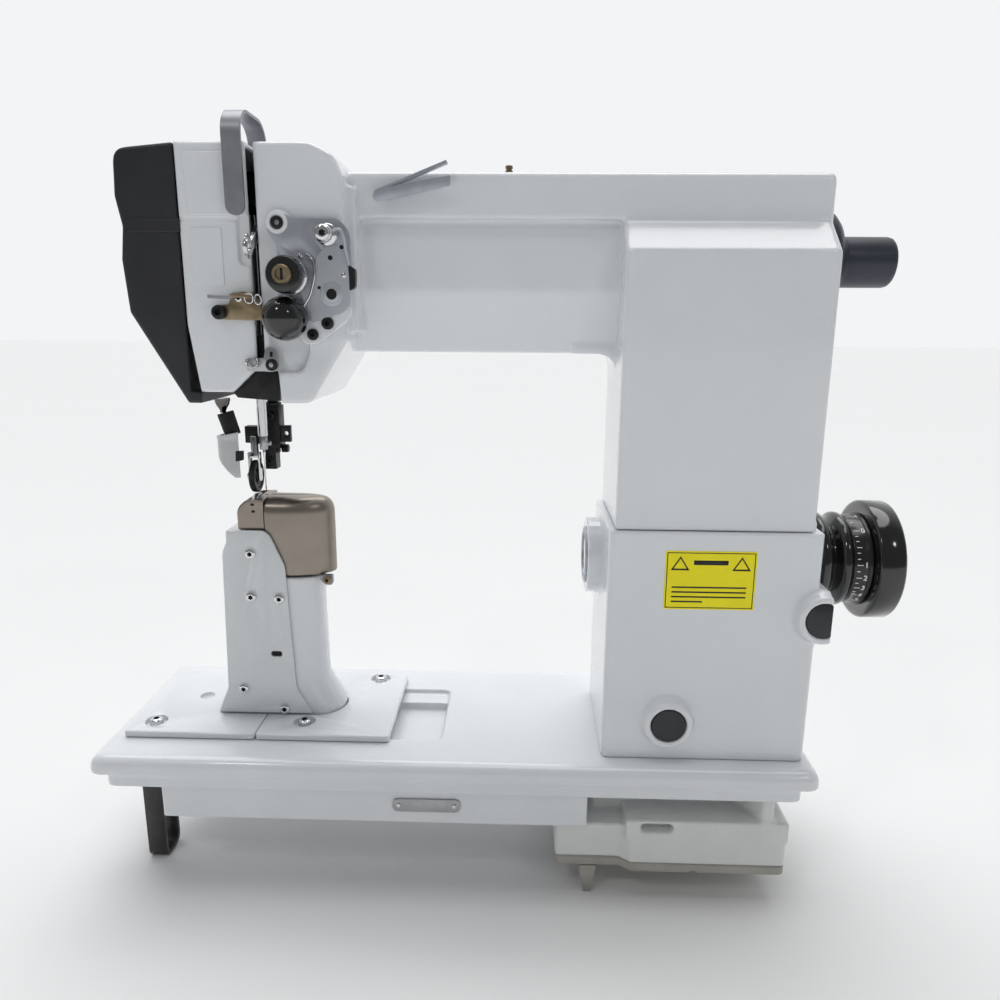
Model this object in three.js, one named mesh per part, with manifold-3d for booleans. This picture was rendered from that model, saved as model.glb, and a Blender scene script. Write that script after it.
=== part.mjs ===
// Post-bed leather sewing machine head, in millimetres, +Z up.
// Every piece is placed from the bed: X = 0 at the bed's left end, Y = 0 at its front edge,
// Z = 0 on its top. The last lines move the whole machine so that its origin is the middle
// of its bounding box, on the surface that it stands on.
import * as THREE from 'three';
import { mergeVertices } from 'three/addons/utils/BufferGeometryUtils.js';
import Module from 'manifold-3d';

const wasm = await Module();
wasm.setup();

// ---- driving dimensions ----
const GAP = 0.3; // between neighbouring pieces that touch
const BED = { length: 518, depth: 160, lip: 13, rim: 22.5, plate: 9 };
const FLOOR = -110; // the surface the feet stand on, below the bed's top
const ORIGIN = { x: 292.8, y: 76 }; // middle of the bounding box in bed coordinates

const SKIRT = { left: 49, right: 357, front: 8, back: 152, bottom: -51, wall: 6 };
const BOX = { left: 334.5, step: 385, right: 501, front: 8, back: 140, bottom: -79 };
const BOX_COVER = 8; // thickness of the plate under the gearbox

const RISER = { left: 366, right: 509.5, front: 17, back: 122, top: 167.5, wall: 7 };
const COLUMN = { left: 370, right: 503.5, front: 20, back: 114, shoulder: 348 };
const ARM = { front: 45, back: 114, top: 397, bottom: 282, band: 42 };
const HEAD = { left: 139, right: 193.5, front: 20, back: 118, top: 410, bottom: 250 };
const FACE = { left: 90.3, right: 134.3 };
const CAP_LEFT = 50.5; // left end of the black cap on the head

const PLATE = { left: 14, right: 211.5, front: 29.5, back: 133, split: 112, thick: 5 };
const POST = { front: 62, back: 97, bodyTop: 115.5, neckTop: 151.7, top: 175 };
const NEEDLE = { x: 115.3, y: 80 };
const PRESSER = { x: 117.5, y: 100 };
const HOOK = { x: 136, y: 80, radius: 15.4 };
const ROLLER = { x: 108.5, y: 80, z: 189.3, radius: 12, width: 4.5 };
const FEED_WHEEL = { radius: 15, z: 161.3 };

const MAIN = { y: 75, z: 134 }; // handwheel shaft, across the riser
const UPPER = { y: 80, z: 344.5 }; // arm shaft
const LOWER = { y: 80, z: -33 }; // shaft under the bed
const SHAFT_R = 7.5;
const TIMING_R = 22; // timing pulleys of the arm shaft belt
const DRIVE_R = 19; // pulleys of the belt down to the bed shaft

const TENSION = { x: 161.3, z: 330.5 };
const DOME = { x: 157.5, z: 304.6 };

// ---- finishes ----
const finish = (color, roughness, metalness) => new THREE.MeshStandardMaterial({ color, roughness, metalness });
const enamel = () => finish(0xdfe3e6, 0.25, 0);
const blackPlastic = () => finish(0x1c1d20, 0.5, 0);
const blackGloss = () => finish(0x0b0b0c, 0.2, 0);
const blackened = () => finish(0x151515, 0.45, 0.6);
const steel = () => finish(0xa9abad, 0.3, 1);
const chrome = () => finish(0xd8d9dc, 0.12, 1);
const zinc = () => finish(0x9aa0aa, 0.35, 0.9);
const nickel = () => finish(0x8f8475, 0.38, 1);
const brass = () => finish(0x7d6a4c, 0.4, 1);
const castIron = () => finish(0x6f6e6a, 0.6, 0.5);
const rubber = () => finish(0x111111, 0.85, 0);

// ---- solids ----
function solidOf(geometry) {
  const bare = geometry.index ? geometry.toNonIndexed() : geometry;
  bare.deleteAttribute('normal');
  bare.deleteAttribute('uv');
  const merged = mergeVertices(bare, 1e-4);
  const vertProperties = new Float32Array(merged.attributes.position.array);
  const triVerts = new Uint32Array(merged.index.array);
  return new wasm.Manifold(new wasm.Mesh({ numProp: 3, vertProperties, triVerts }));
}

function geometryOf(solid) {
  const mesh = solid.getMesh();
  const geometry = new THREE.BufferGeometry();
  geometry.setAttribute('position', new THREE.BufferAttribute(new Float32Array(mesh.vertProperties), 3));
  geometry.setIndex(new THREE.BufferAttribute(new Uint32Array(mesh.triVerts), 1));
  geometry.computeVertexNormals();
  return geometry;
}

const join = (first, ...others) => others.reduce((sum, next) => sum.add(next), first);
const cut = (first, ...others) => others.reduce((rest, next) => rest.subtract(next), first);

// Local axes (x, y, depth) of an extrusion laid along each machine axis.
const ALONG = {
  x: new THREE.Matrix4().makeBasis(
    new THREE.Vector3(0, 1, 0), new THREE.Vector3(0, 0, 1), new THREE.Vector3(1, 0, 0)),
  y: new THREE.Matrix4().makeBasis(
    new THREE.Vector3(1, 0, 0), new THREE.Vector3(0, 0, 1), new THREE.Vector3(0, -1, 0)),
  z: new THREE.Matrix4(),
};

function box(x0, x1, y0, y1, z0, z1) {
  const geometry = new THREE.BoxGeometry(x1 - x0, y1 - y0, z1 - z0);
  geometry.translate((x0 + x1) / 2, (y0 + y1) / 2, (z0 + z1) / 2);
  return solidOf(geometry);
}

// Outline with rounded corners: points are [x, y, radius].
function outline(points) {
  const shape = new THREE.Shape();
  const count = points.length;
  points.forEach(([x, y, radius = 0], i) => {
    const corner = new THREE.Vector2(x, y);
    const before = new THREE.Vector2(...points[(i + count - 1) % count].slice(0, 2)).sub(corner);
    const after = new THREE.Vector2(...points[(i + 1) % count].slice(0, 2)).sub(corner);
    const reach = Math.min(radius, before.length() * 0.45, after.length() * 0.45);
    const start = corner.clone().add(before.setLength(reach));
    const end = corner.clone().add(after.setLength(reach));
    if (i === 0) shape.moveTo(start.x, start.y);
    else shape.lineTo(start.x, start.y);
    if (reach > 0) shape.quadraticCurveTo(x, y, end.x, end.y);
  });
  shape.closePath();
  return shape;
}

const rectangle = (x0, x1, y0, y1, radius = 0) =>
  outline([[x0, y0, radius], [x1, y0, radius], [x1, y1, radius], [x0, y1, radius]]);

// Extrude an outline along an axis from one position to another. The outline's plane is
// YZ along x, XZ along y and XY along z. A bevel rounds both end edges.
function prism(axis, shape, from, to, { bevel = 0, rings = 2, curve = 4 } = {}) {
  const geometry = new THREE.ExtrudeGeometry(shape, {
    depth: to - from - 2 * bevel,
    curveSegments: curve,
    bevelEnabled: bevel > 0,
    bevelThickness: bevel,
    bevelSize: bevel,
    bevelOffset: -bevel,
    bevelSegments: rings,
  });
  geometry.translate(0, 0, axis === 'y' ? -to + bevel : from + bevel);
  geometry.applyMatrix4(ALONG[axis]);
  return solidOf(geometry);
}

// Cylinder or cone between two positions along an axis; centre is the other two coordinates.
function rod(axis, [u, v], radius, from, to, { sides = 16, endRadius = radius } = {}) {
  const geometry = new THREE.CylinderGeometry(endRadius, radius, to - from, sides);
  geometry.rotateX(Math.PI / 2);
  if (axis === 'x') geometry.rotateY(Math.PI / 2);
  if (axis === 'y') geometry.rotateX(-Math.PI / 2);
  const middle = (from + to) / 2;
  const place = { x: [middle, u, v], y: [u, middle, v], z: [u, v, middle] };
  geometry.translate(...place[axis]);
  return solidOf(geometry);
}

// Body turned about an axis: profile points are [position along the axis, radius].
function turned(axis, [u, v], profile, sides = 24) {
  const points = profile.map(([along, radius]) => new THREE.Vector2(radius, along));
  const geometry = new THREE.LatheGeometry(points, sides);
  geometry.rotateX(Math.PI / 2);
  if (axis === 'x') geometry.rotateY(Math.PI / 2);
  if (axis === 'y') geometry.rotateX(-Math.PI / 2);
  const place = { x: [0, u, v], y: [u, 0, v], z: [u, v, 0] };
  geometry.translate(...place[axis]);
  const solid = solidOf(geometry);
  return solid.volume() > 0 ? solid : solidOf(flipped(geometry));
}

function flipped(geometry) {
  const loose = geometry.index ? geometry.toNonIndexed() : geometry;
  const p = loose.attributes.position;
  for (let i = 0; i < p.count; i += 3) {
    const swap = [p.getX(i), p.getY(i), p.getZ(i)];
    p.setXYZ(i, p.getX(i + 1), p.getY(i + 1), p.getZ(i + 1));
    p.setXYZ(i + 1, ...swap);
  }
  return loose;
}

// Solid between a stack of rings with the same number of points each.
function loft(rings) {
  const count = rings[0].length;
  const vertProperties = new Float32Array(rings.flat(2));
  const triangles = [];
  for (let level = 0; level + 1 < rings.length; level += 1) {
    for (let i = 0; i < count; i += 1) {
      const a = level * count + i;
      const b = level * count + ((i + 1) % count);
      triangles.push(a, b, b + count, a, b + count, a + count);
    }
  }
  const flat = (ring) => ring.map(([x, y]) => new THREE.Vector2(x, y));
  const last = (rings.length - 1) * count;
  THREE.ShapeUtils.triangulateShape(flat(rings[0]), []).forEach(([a, b, c]) => {
    triangles.push(a, c, b);
    triangles.push(last + a, last + b, last + c);
  });
  return new wasm.Manifold(new wasm.Mesh({ numProp: 3, vertProperties, triVerts: new Uint32Array(triangles) }));
}

// Ring of points at one height: straight left end with rounded corners, half-round right end.
function postRing(left, right, front, back, z, corner = 5, reach = (back - front) / 2) {
  const shape = new THREE.Shape();
  const radius = (back - front) / 2;
  shape.moveTo(left + corner, front);
  shape.absellipse(right - reach, front + radius, reach, radius, -Math.PI / 2, Math.PI / 2, false);
  shape.lineTo(left + corner, back);
  shape.absarc(left + corner, back - corner, corner, Math.PI / 2, Math.PI, false);
  shape.lineTo(left, front + corner);
  shape.absarc(left + corner, front + corner, corner, Math.PI, Math.PI * 1.5, false);
  const points = shape.getPoints(5);
  if (points[0].distanceTo(points[points.length - 1]) < 1e-6) points.pop();
  return points.map((p) => [p.x, p.y, z]);
}

// Toothed ring for a bevel gear, about an axis through (u, v).
function gearRing(teeth, radius, depth, place) {
  const ring = [];
  for (let i = 0; i < teeth * 4; i += 1) {
    const angle = (i / (teeth * 4)) * 2 * Math.PI;
    const r = i % 4 < 2 ? radius : radius - depth;
    ring.push(place(r * Math.cos(angle), r * Math.sin(angle)));
  }
  return ring;
}

const machine = new THREE.Group();
machine.position.set(-ORIGIN.x, -ORIGIN.y, -FLOOR);

function add(name, solid, material) {
  const mesh = new THREE.Mesh(geometryOf(solid), material);
  mesh.name = name;
  machine.add(mesh);
}

// ---- bed ----
// Plate screws: cap heads sunk in the slide plates.
const PLATE_SCREWS = [[31.4, 46.2], [144, 49.6], [189, 125]];
const M6 = 3;

function bedCasting() {
  const roundEdge = 8;
  const slab = prism('z', rectangle(0, BED.length, 0, BED.depth, 10), -BED.lip - roundEdge, 0,
    { bevel: roundEdge, rings: 4, curve: 4 });
  const upper = cut(slab, box(-5, BED.length + 5, -5, BED.depth + 5, -40, -BED.lip));
  const flange = prism('z', rectangle(12.5, BED.length - 12.5, 1.5, BED.depth - 1.5, 6), -BED.rim, -BED.lip);
  const skirt = box(SKIRT.left, SKIRT.right, SKIRT.front, SKIRT.back, SKIRT.bottom, -BED.lip);
  const solid = join(upper, flange, skirt);
  const w = SKIRT.wall;
  const hollows = [
    box(18, 43, 12, 148, -60, -BED.plate),
    box(SKIRT.left + w, SKIRT.right - w, SKIRT.front + w, SKIRT.back - w, -60, -BED.plate),
    box(SKIRT.right + GAP, 500, 9, 148, -60, -BED.plate),
    box(SKIRT.right - 8, SKIRT.right + 5, 34, 124, -60, -BED.plate),
  ];
  const shell = join(cut(solid, ...hollows), box(207, 256, 30, 123, -15, -BED.plate + 1));
  const ledge = prism('z', rectangle(200, 249.5, 36.8, 117, 6), -4, 5);
  const well = prism('z', rectangle(200, 248.5, 36.8, 101, 2), -10.5, 5);
  const postHole = box(92, 152, 70, 92, -20, 5);
  const beltHole = box(396, 470, 48, 108, -20, 5);
  const sockets = PLATE_SCREWS.map((at) => rod('z', at, M6 + GAP, -12, 5, { sides: 12 }));
  return cut(shell, ledge, well, postHole, beltHole, ...sockets);
}
add('bed_casting', bedCasting(), enamel());

function slidePlate(x0, x1) {
  const blank = prism('z', rectangle(x0, x1, PLATE.front, PLATE.back, 3), GAP, GAP + PLATE.thick,
    { bevel: 0.8, rings: 1 });
  const foot = loft([
    postRing(74.4, 169.4, 59.9, 103.1, -2, 3),
    postRing(74.4, 171.4, 59.9, 103.1, 12, 3),
  ]);
  const holes = PLATE_SCREWS.flatMap((at) => [
    rod('z', at, M6 + GAP, -2, 8, { sides: 12 }),
    rod('z', at, 8.3, 1.8, 8, { sides: 20 }),
  ]);
  return cut(blank, foot, ...holes);
}
add('slide_plate_left', slidePlate(PLATE.left, PLATE.split - 0.5), enamel());
add('slide_plate_right', slidePlate(PLATE.split + 0.3, PLATE.right), enamel());

PLATE_SCREWS.forEach((at, i) => {
  const head = rod('z', at, 5, 2.1, 7.6, { sides: 20 });
  const shank = rod('z', at, M6, -11, 2.4, { sides: 12 });
  const hexagon = rod('z', at, 2.9, 4.6, 9, { sides: 6 });
  add(`plate_screw_${i + 1}`, cut(join(head, shank), hexagon), chrome());
});

const NAME_PLATE = { left: 217, right: 266, bottom: -40.5, top: -30.5 };
add('name_plate', prism('y', rectangle(NAME_PLATE.left, NAME_PLATE.right, NAME_PLATE.bottom, NAME_PLATE.top, 4.8),
  SKIRT.front - GAP - 1, SKIRT.front - GAP), zinc());

// ---- gearbox and feet ----
function boxOutline(inset) {
  const i = inset;
  return outline([
    [BOX.left + i, BOX.front + 6 + i, 3], [BOX.step - 4 + i, BOX.front + 6 + i], [BOX.step + 4 + i, BOX.front + i],
    [BOX.right - i, BOX.front + i, 5], [BOX.right - i, BOX.back - i, 5], [BOX.left + i, BOX.back - i, 5],
  ]);
}

function gearboxCasting() {
  const w = 6;
  const low = prism('z', boxOutline(0), BOX.bottom, SKIRT.bottom - GAP - 0.1);
  const high = box(BOX.step, BOX.right, BOX.front, BOX.back, -60, -44);
  const neck = box(363, 494, 33, 125, -60, -BED.plate - GAP);
  const rib = prism('z', outline([[466, 33.5], [482, 9], [490, 9], [490, 33.5]]), -45, -BED.rim - GAP);
  const lowHollow = prism('z', boxOutline(w), BOX.bottom - 1, -57);
  const neckHollow = box(369, 488, 39, 119, -60, 0);
  const shaftHole = rod('x', [LOWER.y, LOWER.z], 9, 350, 380);
  const slot = prism('y', rectangle(395.5, 419, -54, -47.2, 3.2), 0, 20);
  return cut(join(low, high, neck, rib), lowHollow, neckHollow, shaftHole, slot);
}
add('gearbox_casting', gearboxCasting(), enamel());

const coverTop = BOX.bottom - GAP;
const gearboxCover = cut(
  prism('z', boxOutline(0.4), coverTop - BOX_COVER + GAP, coverTop, { bevel: 1.2, rings: 1 }),
  box(432.5, 437.5, -5, 12, -95, -85),
);
add('gearbox_cover', gearboxCover, castIron());

function restLeg(front, back, tipFront, tipBack) {
  const top = BOX.bottom - BOX_COVER - GAP - 0.2;
  const ring = (x0, x1, y0, y1, z) => [[x0, y0, z], [x1, y0, z], [x1, y1, z], [x0, y1, z]];
  return loft([
    ring(356.4, 361.6, tipFront, tipBack, FLOOR),
    ring(352.5, 365.5, front, back, top),
  ]);
}
add('rest_leg_front', restLeg(14.8, 27, 15.2, 20), castIron());
add('rest_leg_rear', restLeg(127, 139.2, 134, 138.8), castIron());

function strapFoot() {
  const t = 3;
  const [y0, y1, top] = [40, 64, -BED.plate - GAP];
  const outer = outline([[y0, top], [y0, FLOOR, 7], [y1, FLOOR, 9], [y1, top]]);
  const inner = outline([[y0 + t, top + 1], [y0 + t, FLOOR + t, 5], [y1 - t, FLOOR + t, 6], [y1 - t, top + 1]]);
  return cut(prism('x', outer, 18.2, 32.6), prism('x', inner, 18, 33));
}
add('strap_foot', strapFoot(), blackened());

// ---- riser ----
const FRONT_BOSS = { x: 411.5, z: 29.5 };
const SIDE_BOSS = { x: 511, z: 109 };
const BOSS = { base: 19.5, face: 16.5, plug: 12.2, reach: 8 };
const SIDE_CUT = 516; // flat right side of the side boss

function riserCasting() {
  const { left, right, front, back, top, wall } = RISER;
  const body = prism('z', rectangle(left, right, front, back, 5), GAP, top + 5, { bevel: 4, rings: 2 });
  const trimmed = cut(body, box(left - 5, right + 5, front - 5, back + 5, -10, GAP + 4));
  const foot = prism('z', rectangle(left, right, front, back, 5), GAP, GAP + 6);
  const lowTop = cut(trimmed, box(left - 5, right + 5, front - 5, back + 5, top, top + 10));
  const boss = ({ x, z }) => rod('y', [x, z], BOSS.face, front - BOSS.reach, front + 2,
    { sides: 28, endRadius: BOSS.base });
  const sideRoot = rod('y', [SIDE_BOSS.x, SIDE_BOSS.z], BOSS.base, front, 44, { sides: 28 });
  const sideBoss = cut(join(boss(SIDE_BOSS), sideRoot),
    box(SIDE_CUT, 540, 0, 60, 80, 140));
  const bearing = rod('x', [MAIN.y, MAIN.z], 28, left - 11, left + 2, { sides: 28 });
  const solid = join(lowTop, foot, boss(FRONT_BOSS), sideBoss, bearing);
  return cut(
    solid,
    box(left + wall, right - wall, front + wall, back - wall, -5, top + 10),
    rod('x', [MAIN.y, MAIN.z], SHAFT_R + 0.6, left - 20, right + 20, { sides: 24 }),
    rod('x', [MAIN.y, MAIN.z], 21, left - 20, left - 7.5, { sides: 28 }),
    rod('y', [FRONT_BOSS.x, FRONT_BOSS.z], BOSS.plug + GAP, 0, front + 2, { sides: 24 }),
    rod('y', [SIDE_BOSS.x, SIDE_BOSS.z], BOSS.plug + GAP, 0, front + 2, { sides: 24 }),
  );
}
add('riser_casting', riserCasting(), enamel());

const plugEnd = RISER.front - BOSS.reach + 0.8;
add('front_plug', rod('y', [FRONT_BOSS.x, FRONT_BOSS.z], BOSS.plug, plugEnd, RISER.front + 1.6, { sides: 24 }),
  blackPlastic());
add('side_plug', cut(rod('y', [SIDE_BOSS.x, SIDE_BOSS.z], BOSS.plug, plugEnd, RISER.front + 1.6, { sides: 24 }),
  box(SIDE_CUT, 540, 0, 60, 80, 140)), blackPlastic());
add('shaft_end_cap', rod('x', [MAIN.y, MAIN.z], 20.6, RISER.left - 12.5, RISER.left - 7.9,
  { sides: 28 }), blackPlastic());

// ---- column, arm and head casting ----
function armCasting() {
  const columnSection = outline([
    [COLUMN.front, RISER.top + GAP], [COLUMN.front, COLUMN.shoulder], [ARM.band, COLUMN.shoulder + 19.5],
    [ARM.band, ARM.top, 6], [COLUMN.back, ARM.top, 10], [COLUMN.back, RISER.top + GAP],
  ]);
  const column = prism('x', columnSection, COLUMN.left, COLUMN.right, { bevel: 3, rings: 2 });
  const squareFoot = box(COLUMN.left, COLUMN.right, COLUMN.front, COLUMN.back, RISER.top + GAP, RISER.top + 8);
  const armSection = outline([
    [ARM.band, 368], [ARM.band, ARM.top, 6], [ARM.back, ARM.top, 10], [ARM.back, 296, 6],
    [104, ARM.bottom, 4], [62, ARM.bottom, 3], [ARM.front, 321, 3], [ARM.front, 358, 3], [50, 365], [50, 368],
  ]);
  const arm = prism('x', armSection, HEAD.right - 4, COLUMN.left + 8);
  const corner = prism('y', outline([
    [340, ARM.bottom + 8], [340, ARM.bottom], [COLUMN.left, ARM.bottom, 26], [COLUMN.left, 250],
    [COLUMN.left + 6, 250], [COLUMN.left + 6, ARM.bottom + 8],
  ]), 58, 106, { curve: 6 });
  const headOutline = outline([
    [HEAD.left, HEAD.top], [174, HEAD.top, 5], [189, 402.5, 4], [HEAD.right, 392], [HEAD.right, 291],
    [169.5, 252, 3], [166, HEAD.bottom, 2], [148.4, HEAD.bottom], [147, 272], [HEAD.left, 272],
  ]);
  const head = prism('y', headOutline, HEAD.front, HEAD.back, { bevel: 2, rings: 2 });
  const rib = box(188, 199, 30, 60, 296, 386);
  const solid = join(column, squareFoot, arm, corner, head, rib);

  const columnHollow = box(COLUMN.left + 7, COLUMN.right - 7, 28, COLUMN.back - 7, RISER.top - 5, 352);
  const topHollow = box(COLUMN.left + 7, COLUMN.right - 7, 50, COLUMN.back - 7, 340, ARM.top - 8);
  const armHollow = box(180, COLUMN.left + 20, 55, ARM.back - 8, 300, ARM.top - 8);
  const headHollow = prism('y', outline([
    [HEAD.left - 4, HEAD.top - 6], [181, HEAD.top - 6], [187, 388], [187, 294], [165, 258], [151.5, 258],
    [151, 276], [HEAD.left - 4, 276],
  ]), HEAD.front + 6, HEAD.back - 6);
  const recess = prism('y', outline([
    [143, 300], [144, 283], [146, 270.5, 8], [164, 270.5, 8], [168.5, 283], [169.5, 300],
  ]), HEAD.front - 2, HEAD.front + 4.5);
  const shaftBore = rod('x', [UPPER.y, UPPER.z], SHAFT_R + 0.6, 480, 520, { sides: 24 });
  const screwHoles = [[154, 362], [184.5, 355], [179.5, 303.4]].map((at) =>
    rod('y', at, 2.3, 10, 24, { sides: 8 }));
  return cut(solid, columnHollow, topHollow, armHollow, headHollow, recess, shaftBore, ...screwHoles);
}
add('arm_casting', armCasting(), enamel());

// Thread guide on the arm: one strip of spring steel folded into two leaves.
function armThreadGuide() {
  const front = prism('y', outline([
    [209.6, 380, 3], [212, 376.6, 2], [259.4, 386.6, 1], [259.4, 392.6, 1], [212, 384.4, 3],
  ]), 33.4, 34.6);
  const upper = prism('y', outline([
    [210.4, 381.6], [213.5, 383], [257.4, 400.4], [256.9, 401.6], [213, 384.4],
  ]), 33.4, 41.6);
  const tab = box(211.5, 221, 34, ARM.band - GAP, 380.6, 384);
  return join(front, upper, tab);
}
add('arm_thread_guide', armThreadGuide(), steel());
add('oil_peg', rod('z', [295.7, 60], 2.6, ARM.top + GAP, ARM.top + 6, { sides: 14, endRadius: 2.2 }), brass());

// Cover of the arm shaft's end, on the column's right side.
add('end_cover', turned('x', [UPPER.y, UPPER.z], [
  [COLUMN.right + GAP, 0], [COLUMN.right + GAP, 34], [COLUMN.right + 7, 33.5], [COLUMN.right + 13, 28],
  [COLUMN.right + 17, 17.5], [COLUMN.right + 50, 16.8], [COLUMN.right + 53, 15], [COLUMN.right + 53, 13],
  [COLUMN.right + 6, 13], [COLUMN.right + 6, 0],
], 28), blackPlastic());

// ---- covers of the head ----
function faceCover() {
  const { left, right } = FACE;
  const front = outline([
    [left, HEAD.top], [right, HEAD.top], [right, 273], [117, 257], [96, 257], [left, 300],
  ]);
  const outer = prism('y', front, HEAD.front, HEAD.back, { bevel: 1.6, rings: 2 });
  const inner = prism('y', outline([
    [left + 3, HEAD.top - 3.5], [right + 5, HEAD.top - 3.5], [right + 5, 274], [right, 276.5], [117, 261],
    [97, 261], [left + 3, 300],
  ]), HEAD.front + 3.5, HEAD.back - 3.5);
  const leftHole = box(left - 5, left + 5, 32, 106, 300, 396);
  const seam = box(left - 5, right + 5, HEAD.front - 1, HEAD.front + 1.2, 362.8, 366);
  const channel = prism('y', outline([
    [127, 370], [127, 336.5, 5], [right + 2, 336.5], [right + 2, 370],
  ]), HEAD.front - 1, HEAD.front + 2);
  return cut(outer, inner, leftHole, seam, channel, box(110.5, right + 5, 26, 113, 240, 280));
}
add('face_cover', faceCover(), enamel());

function endCap() {
  const right = FACE.left - GAP;
  const outer = prism('y', outline([
    [CAP_LEFT + 1.5, 406, 8], [right, 409.6], [right, 300], [96, 262], [96, 249.6], [87, 249.6],
    [53.6, 307.5], [51.4, 340], [53.8, 360], [CAP_LEFT, 378],
  ]), HEAD.front, HEAD.back, { bevel: 2, rings: 2 });
  const shell = cut(outer, box(FACE.left - GAP - 0.5, 99, 0, 140, 257, 420),
    prism('y', outline([
      [right - 1, 300], [right + 8, 255.5], [right + 8, 300],
    ]), 0, 140));
  const inner = prism('y', outline([
    [57, 402], [right + 4, 404], [right + 4, 300], [88, 262], [58, 310],
  ]), HEAD.front + 3.5, HEAD.back - 3.5);
  return cut(shell, inner);
}
add('end_cap', endCap(), blackPlastic());

// Guard hoop over the take-up lever, from the face cover's front to its top.
function takeUpGuard() {
  const [x0, x1, t] = [123.2, 134.6, 2.2];
  const outer = outline([[13, 366], [13, 429, 17], [65, 429, 17], [65, HEAD.top + GAP], [65 - t, HEAD.top + GAP],
    [65 - t, 429 - t, 15], [13 + t, 429 - t, 15], [13 + t, 366]]);
  const lug = box(125.4, 132.4, 14, HEAD.front - GAP, 369, 377);
  return join(prism('x', outer, x0, x1, { curve: 6 }), lug);
}
add('take_up_guard', takeUpGuard(), zinc());

// Take-up lever: eye in front of the slot, arm through the slot to its pivot in the head.
const TAKE_UP = { y: 60, z: 375, eyeY: 9.5, eyeZ: 347 };
function takeUpLever() {
  const [x0, x1] = [135.4, 138];
  const arm = prism('x', outline([
    [10, 342.5], [14, 352], [30, 362], [57, 381], [64, 377], [62, 369], [56, 368], [30, 354],
  ]), x0, x1);
  const eye = rod('x', [TAKE_UP.eyeY, TAKE_UP.eyeZ], 5.6, x0, x1, { sides: 16 });
  const eyeHole = rod('x', [TAKE_UP.eyeY - 0.4, TAKE_UP.eyeZ], 3.3, x0 - 1, x1 + 1, { sides: 12 });
  const hub = rod('x', [TAKE_UP.y, TAKE_UP.z], 6.5, x0, x1 + 3.5, { sides: 16 });
  return cut(join(arm, eye, hub), eyeHole);
}
add('take_up_lever', takeUpLever(), chrome());

// Casting inside the head that carries the needle bar and presser bar.
function barFrame() {
  const lower = prism('y', outline([
    [112, 260.5], [118, 253], [146.2, 251], [146.2, 271.4], [138.4, 271.4], [138.4, 292], [112, 292],
  ]), 26.5, 110);
  const upper = box(106, 128, 66, 110, 380, 400);
  const back = box(106, 128, 106.5, 110, 280, 400);
  return cut(
    join(lower, upper, back),
    rod('z', [NEEDLE.x, NEEDLE.y], 3.6 + GAP, 230, 420),
    rod('z', [PRESSER.x, PRESSER.y], 4 + GAP, 230, 420),
  );
}
add('bar_frame', barFrame(), blackened());

// ---- needle and presser ----
const CLAMP_TOP = 218.7;
add('needle_bar', rod('z', [NEEDLE.x, NEEDLE.y], 3.6, CLAMP_TOP + GAP, 374), steel());
add('needle_clamp', cut(
  join(rod('z', [NEEDLE.x, NEEDLE.y], 3, 209.5, CLAMP_TOP, { sides: 16 }),
    rod('x', [NEEDLE.y, 214], 1.8, NEEDLE.x + 1, NEEDLE.x + 5.6, { sides: 10 })),
  rod('z', [NEEDLE.x, NEEDLE.y], 1.3, 205, 215, { sides: 10 })), steel());
add('needle', turned('z', [NEEDLE.x, NEEDLE.y], [
  [177.5, 0], [180, 0.55], [203, 0.65], [206, 1], [214.6, 1], [214.6, 0],
], 8), chrome());
add('presser_bar', rod('z', [PRESSER.x, PRESSER.y], 4, 204, 372), blackened());

function presserBracket() {
  const sleeve = box(111.5, 123.4, 93.5, 107, 208, 240);
  const crossArm = box(97, 123.4, 93.5, 102, 212, 224.5);
  const tab = box(123, 130.6, 97, 101, 212.5, 225);
  const foot = box(110.8, 119.6, 94, 104, 192, 209);
  return cut(join(sleeve, crossArm, tab, foot),
    rod('y', [127.4, 219], 1.7, 90, 110, { sides: 12 }),
    rod('z', [PRESSER.x, PRESSER.y], 4 + GAP, 203.7, 260));
}
add('presser_bracket', presserBracket(), blackened());

function rollerFork() {
  const { x, y, z } = ROLLER;
  const [left, right] = [x - 4.7, x + 3.6]; // the right cheek is thin, to pass the needle clamp
  const cheek = (x0, x1) => prism('x', outline([
    [y - 3.5, z - 3.5, 2], [y + 3.5, z - 3.5, 2], [y + 3, z + 13], [y + 3, z + 18], [y - 3, z + 18],
    [y - 3, z + 13],
  ]), x0, x1);
  const bridge = box(left, right, y - 3, y + 3, z + 14, z + 18);
  const stem = box(x - 2, x + 2, y - 2.6, y + 2.6, z + 17, z + 30);
  const link = box(x - 2, x + 2, y, 93.5 - GAP, z + 23.5, z + 30);
  const axle = rod('x', [y, z], 1.8, left, right, { sides: 12 });
  return join(cheek(left, left + 1.8), cheek(right - 1, right), bridge, stem, link, axle);
}
add('roller_fork', rollerFork(), chrome());

function pressingRoller() {
  const { x, y, z, radius, width } = ROLLER;
  const h = width / 2;
  const disc = turned('x', [y, z], [
    [x - h, 0], [x - h, 4.5], [x - h + 1, 5.5], [x - h + 1, 9], [x - h, 10], [x - h, radius - 0.7],
    [x - h + 0.7, radius], [x + h - 0.7, radius], [x + h, radius - 0.7], [x + h, 10], [x + h - 1, 9],
    [x + h - 1, 5.5], [x + h, 4.5], [x + h, 0],
  ], 20);
  return cut(disc, rod('x', [y, z], 1.8 + GAP, x - 9, x + 9, { sides: 12 }));
}
add('presser_roller', pressingRoller(), steel());

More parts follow.
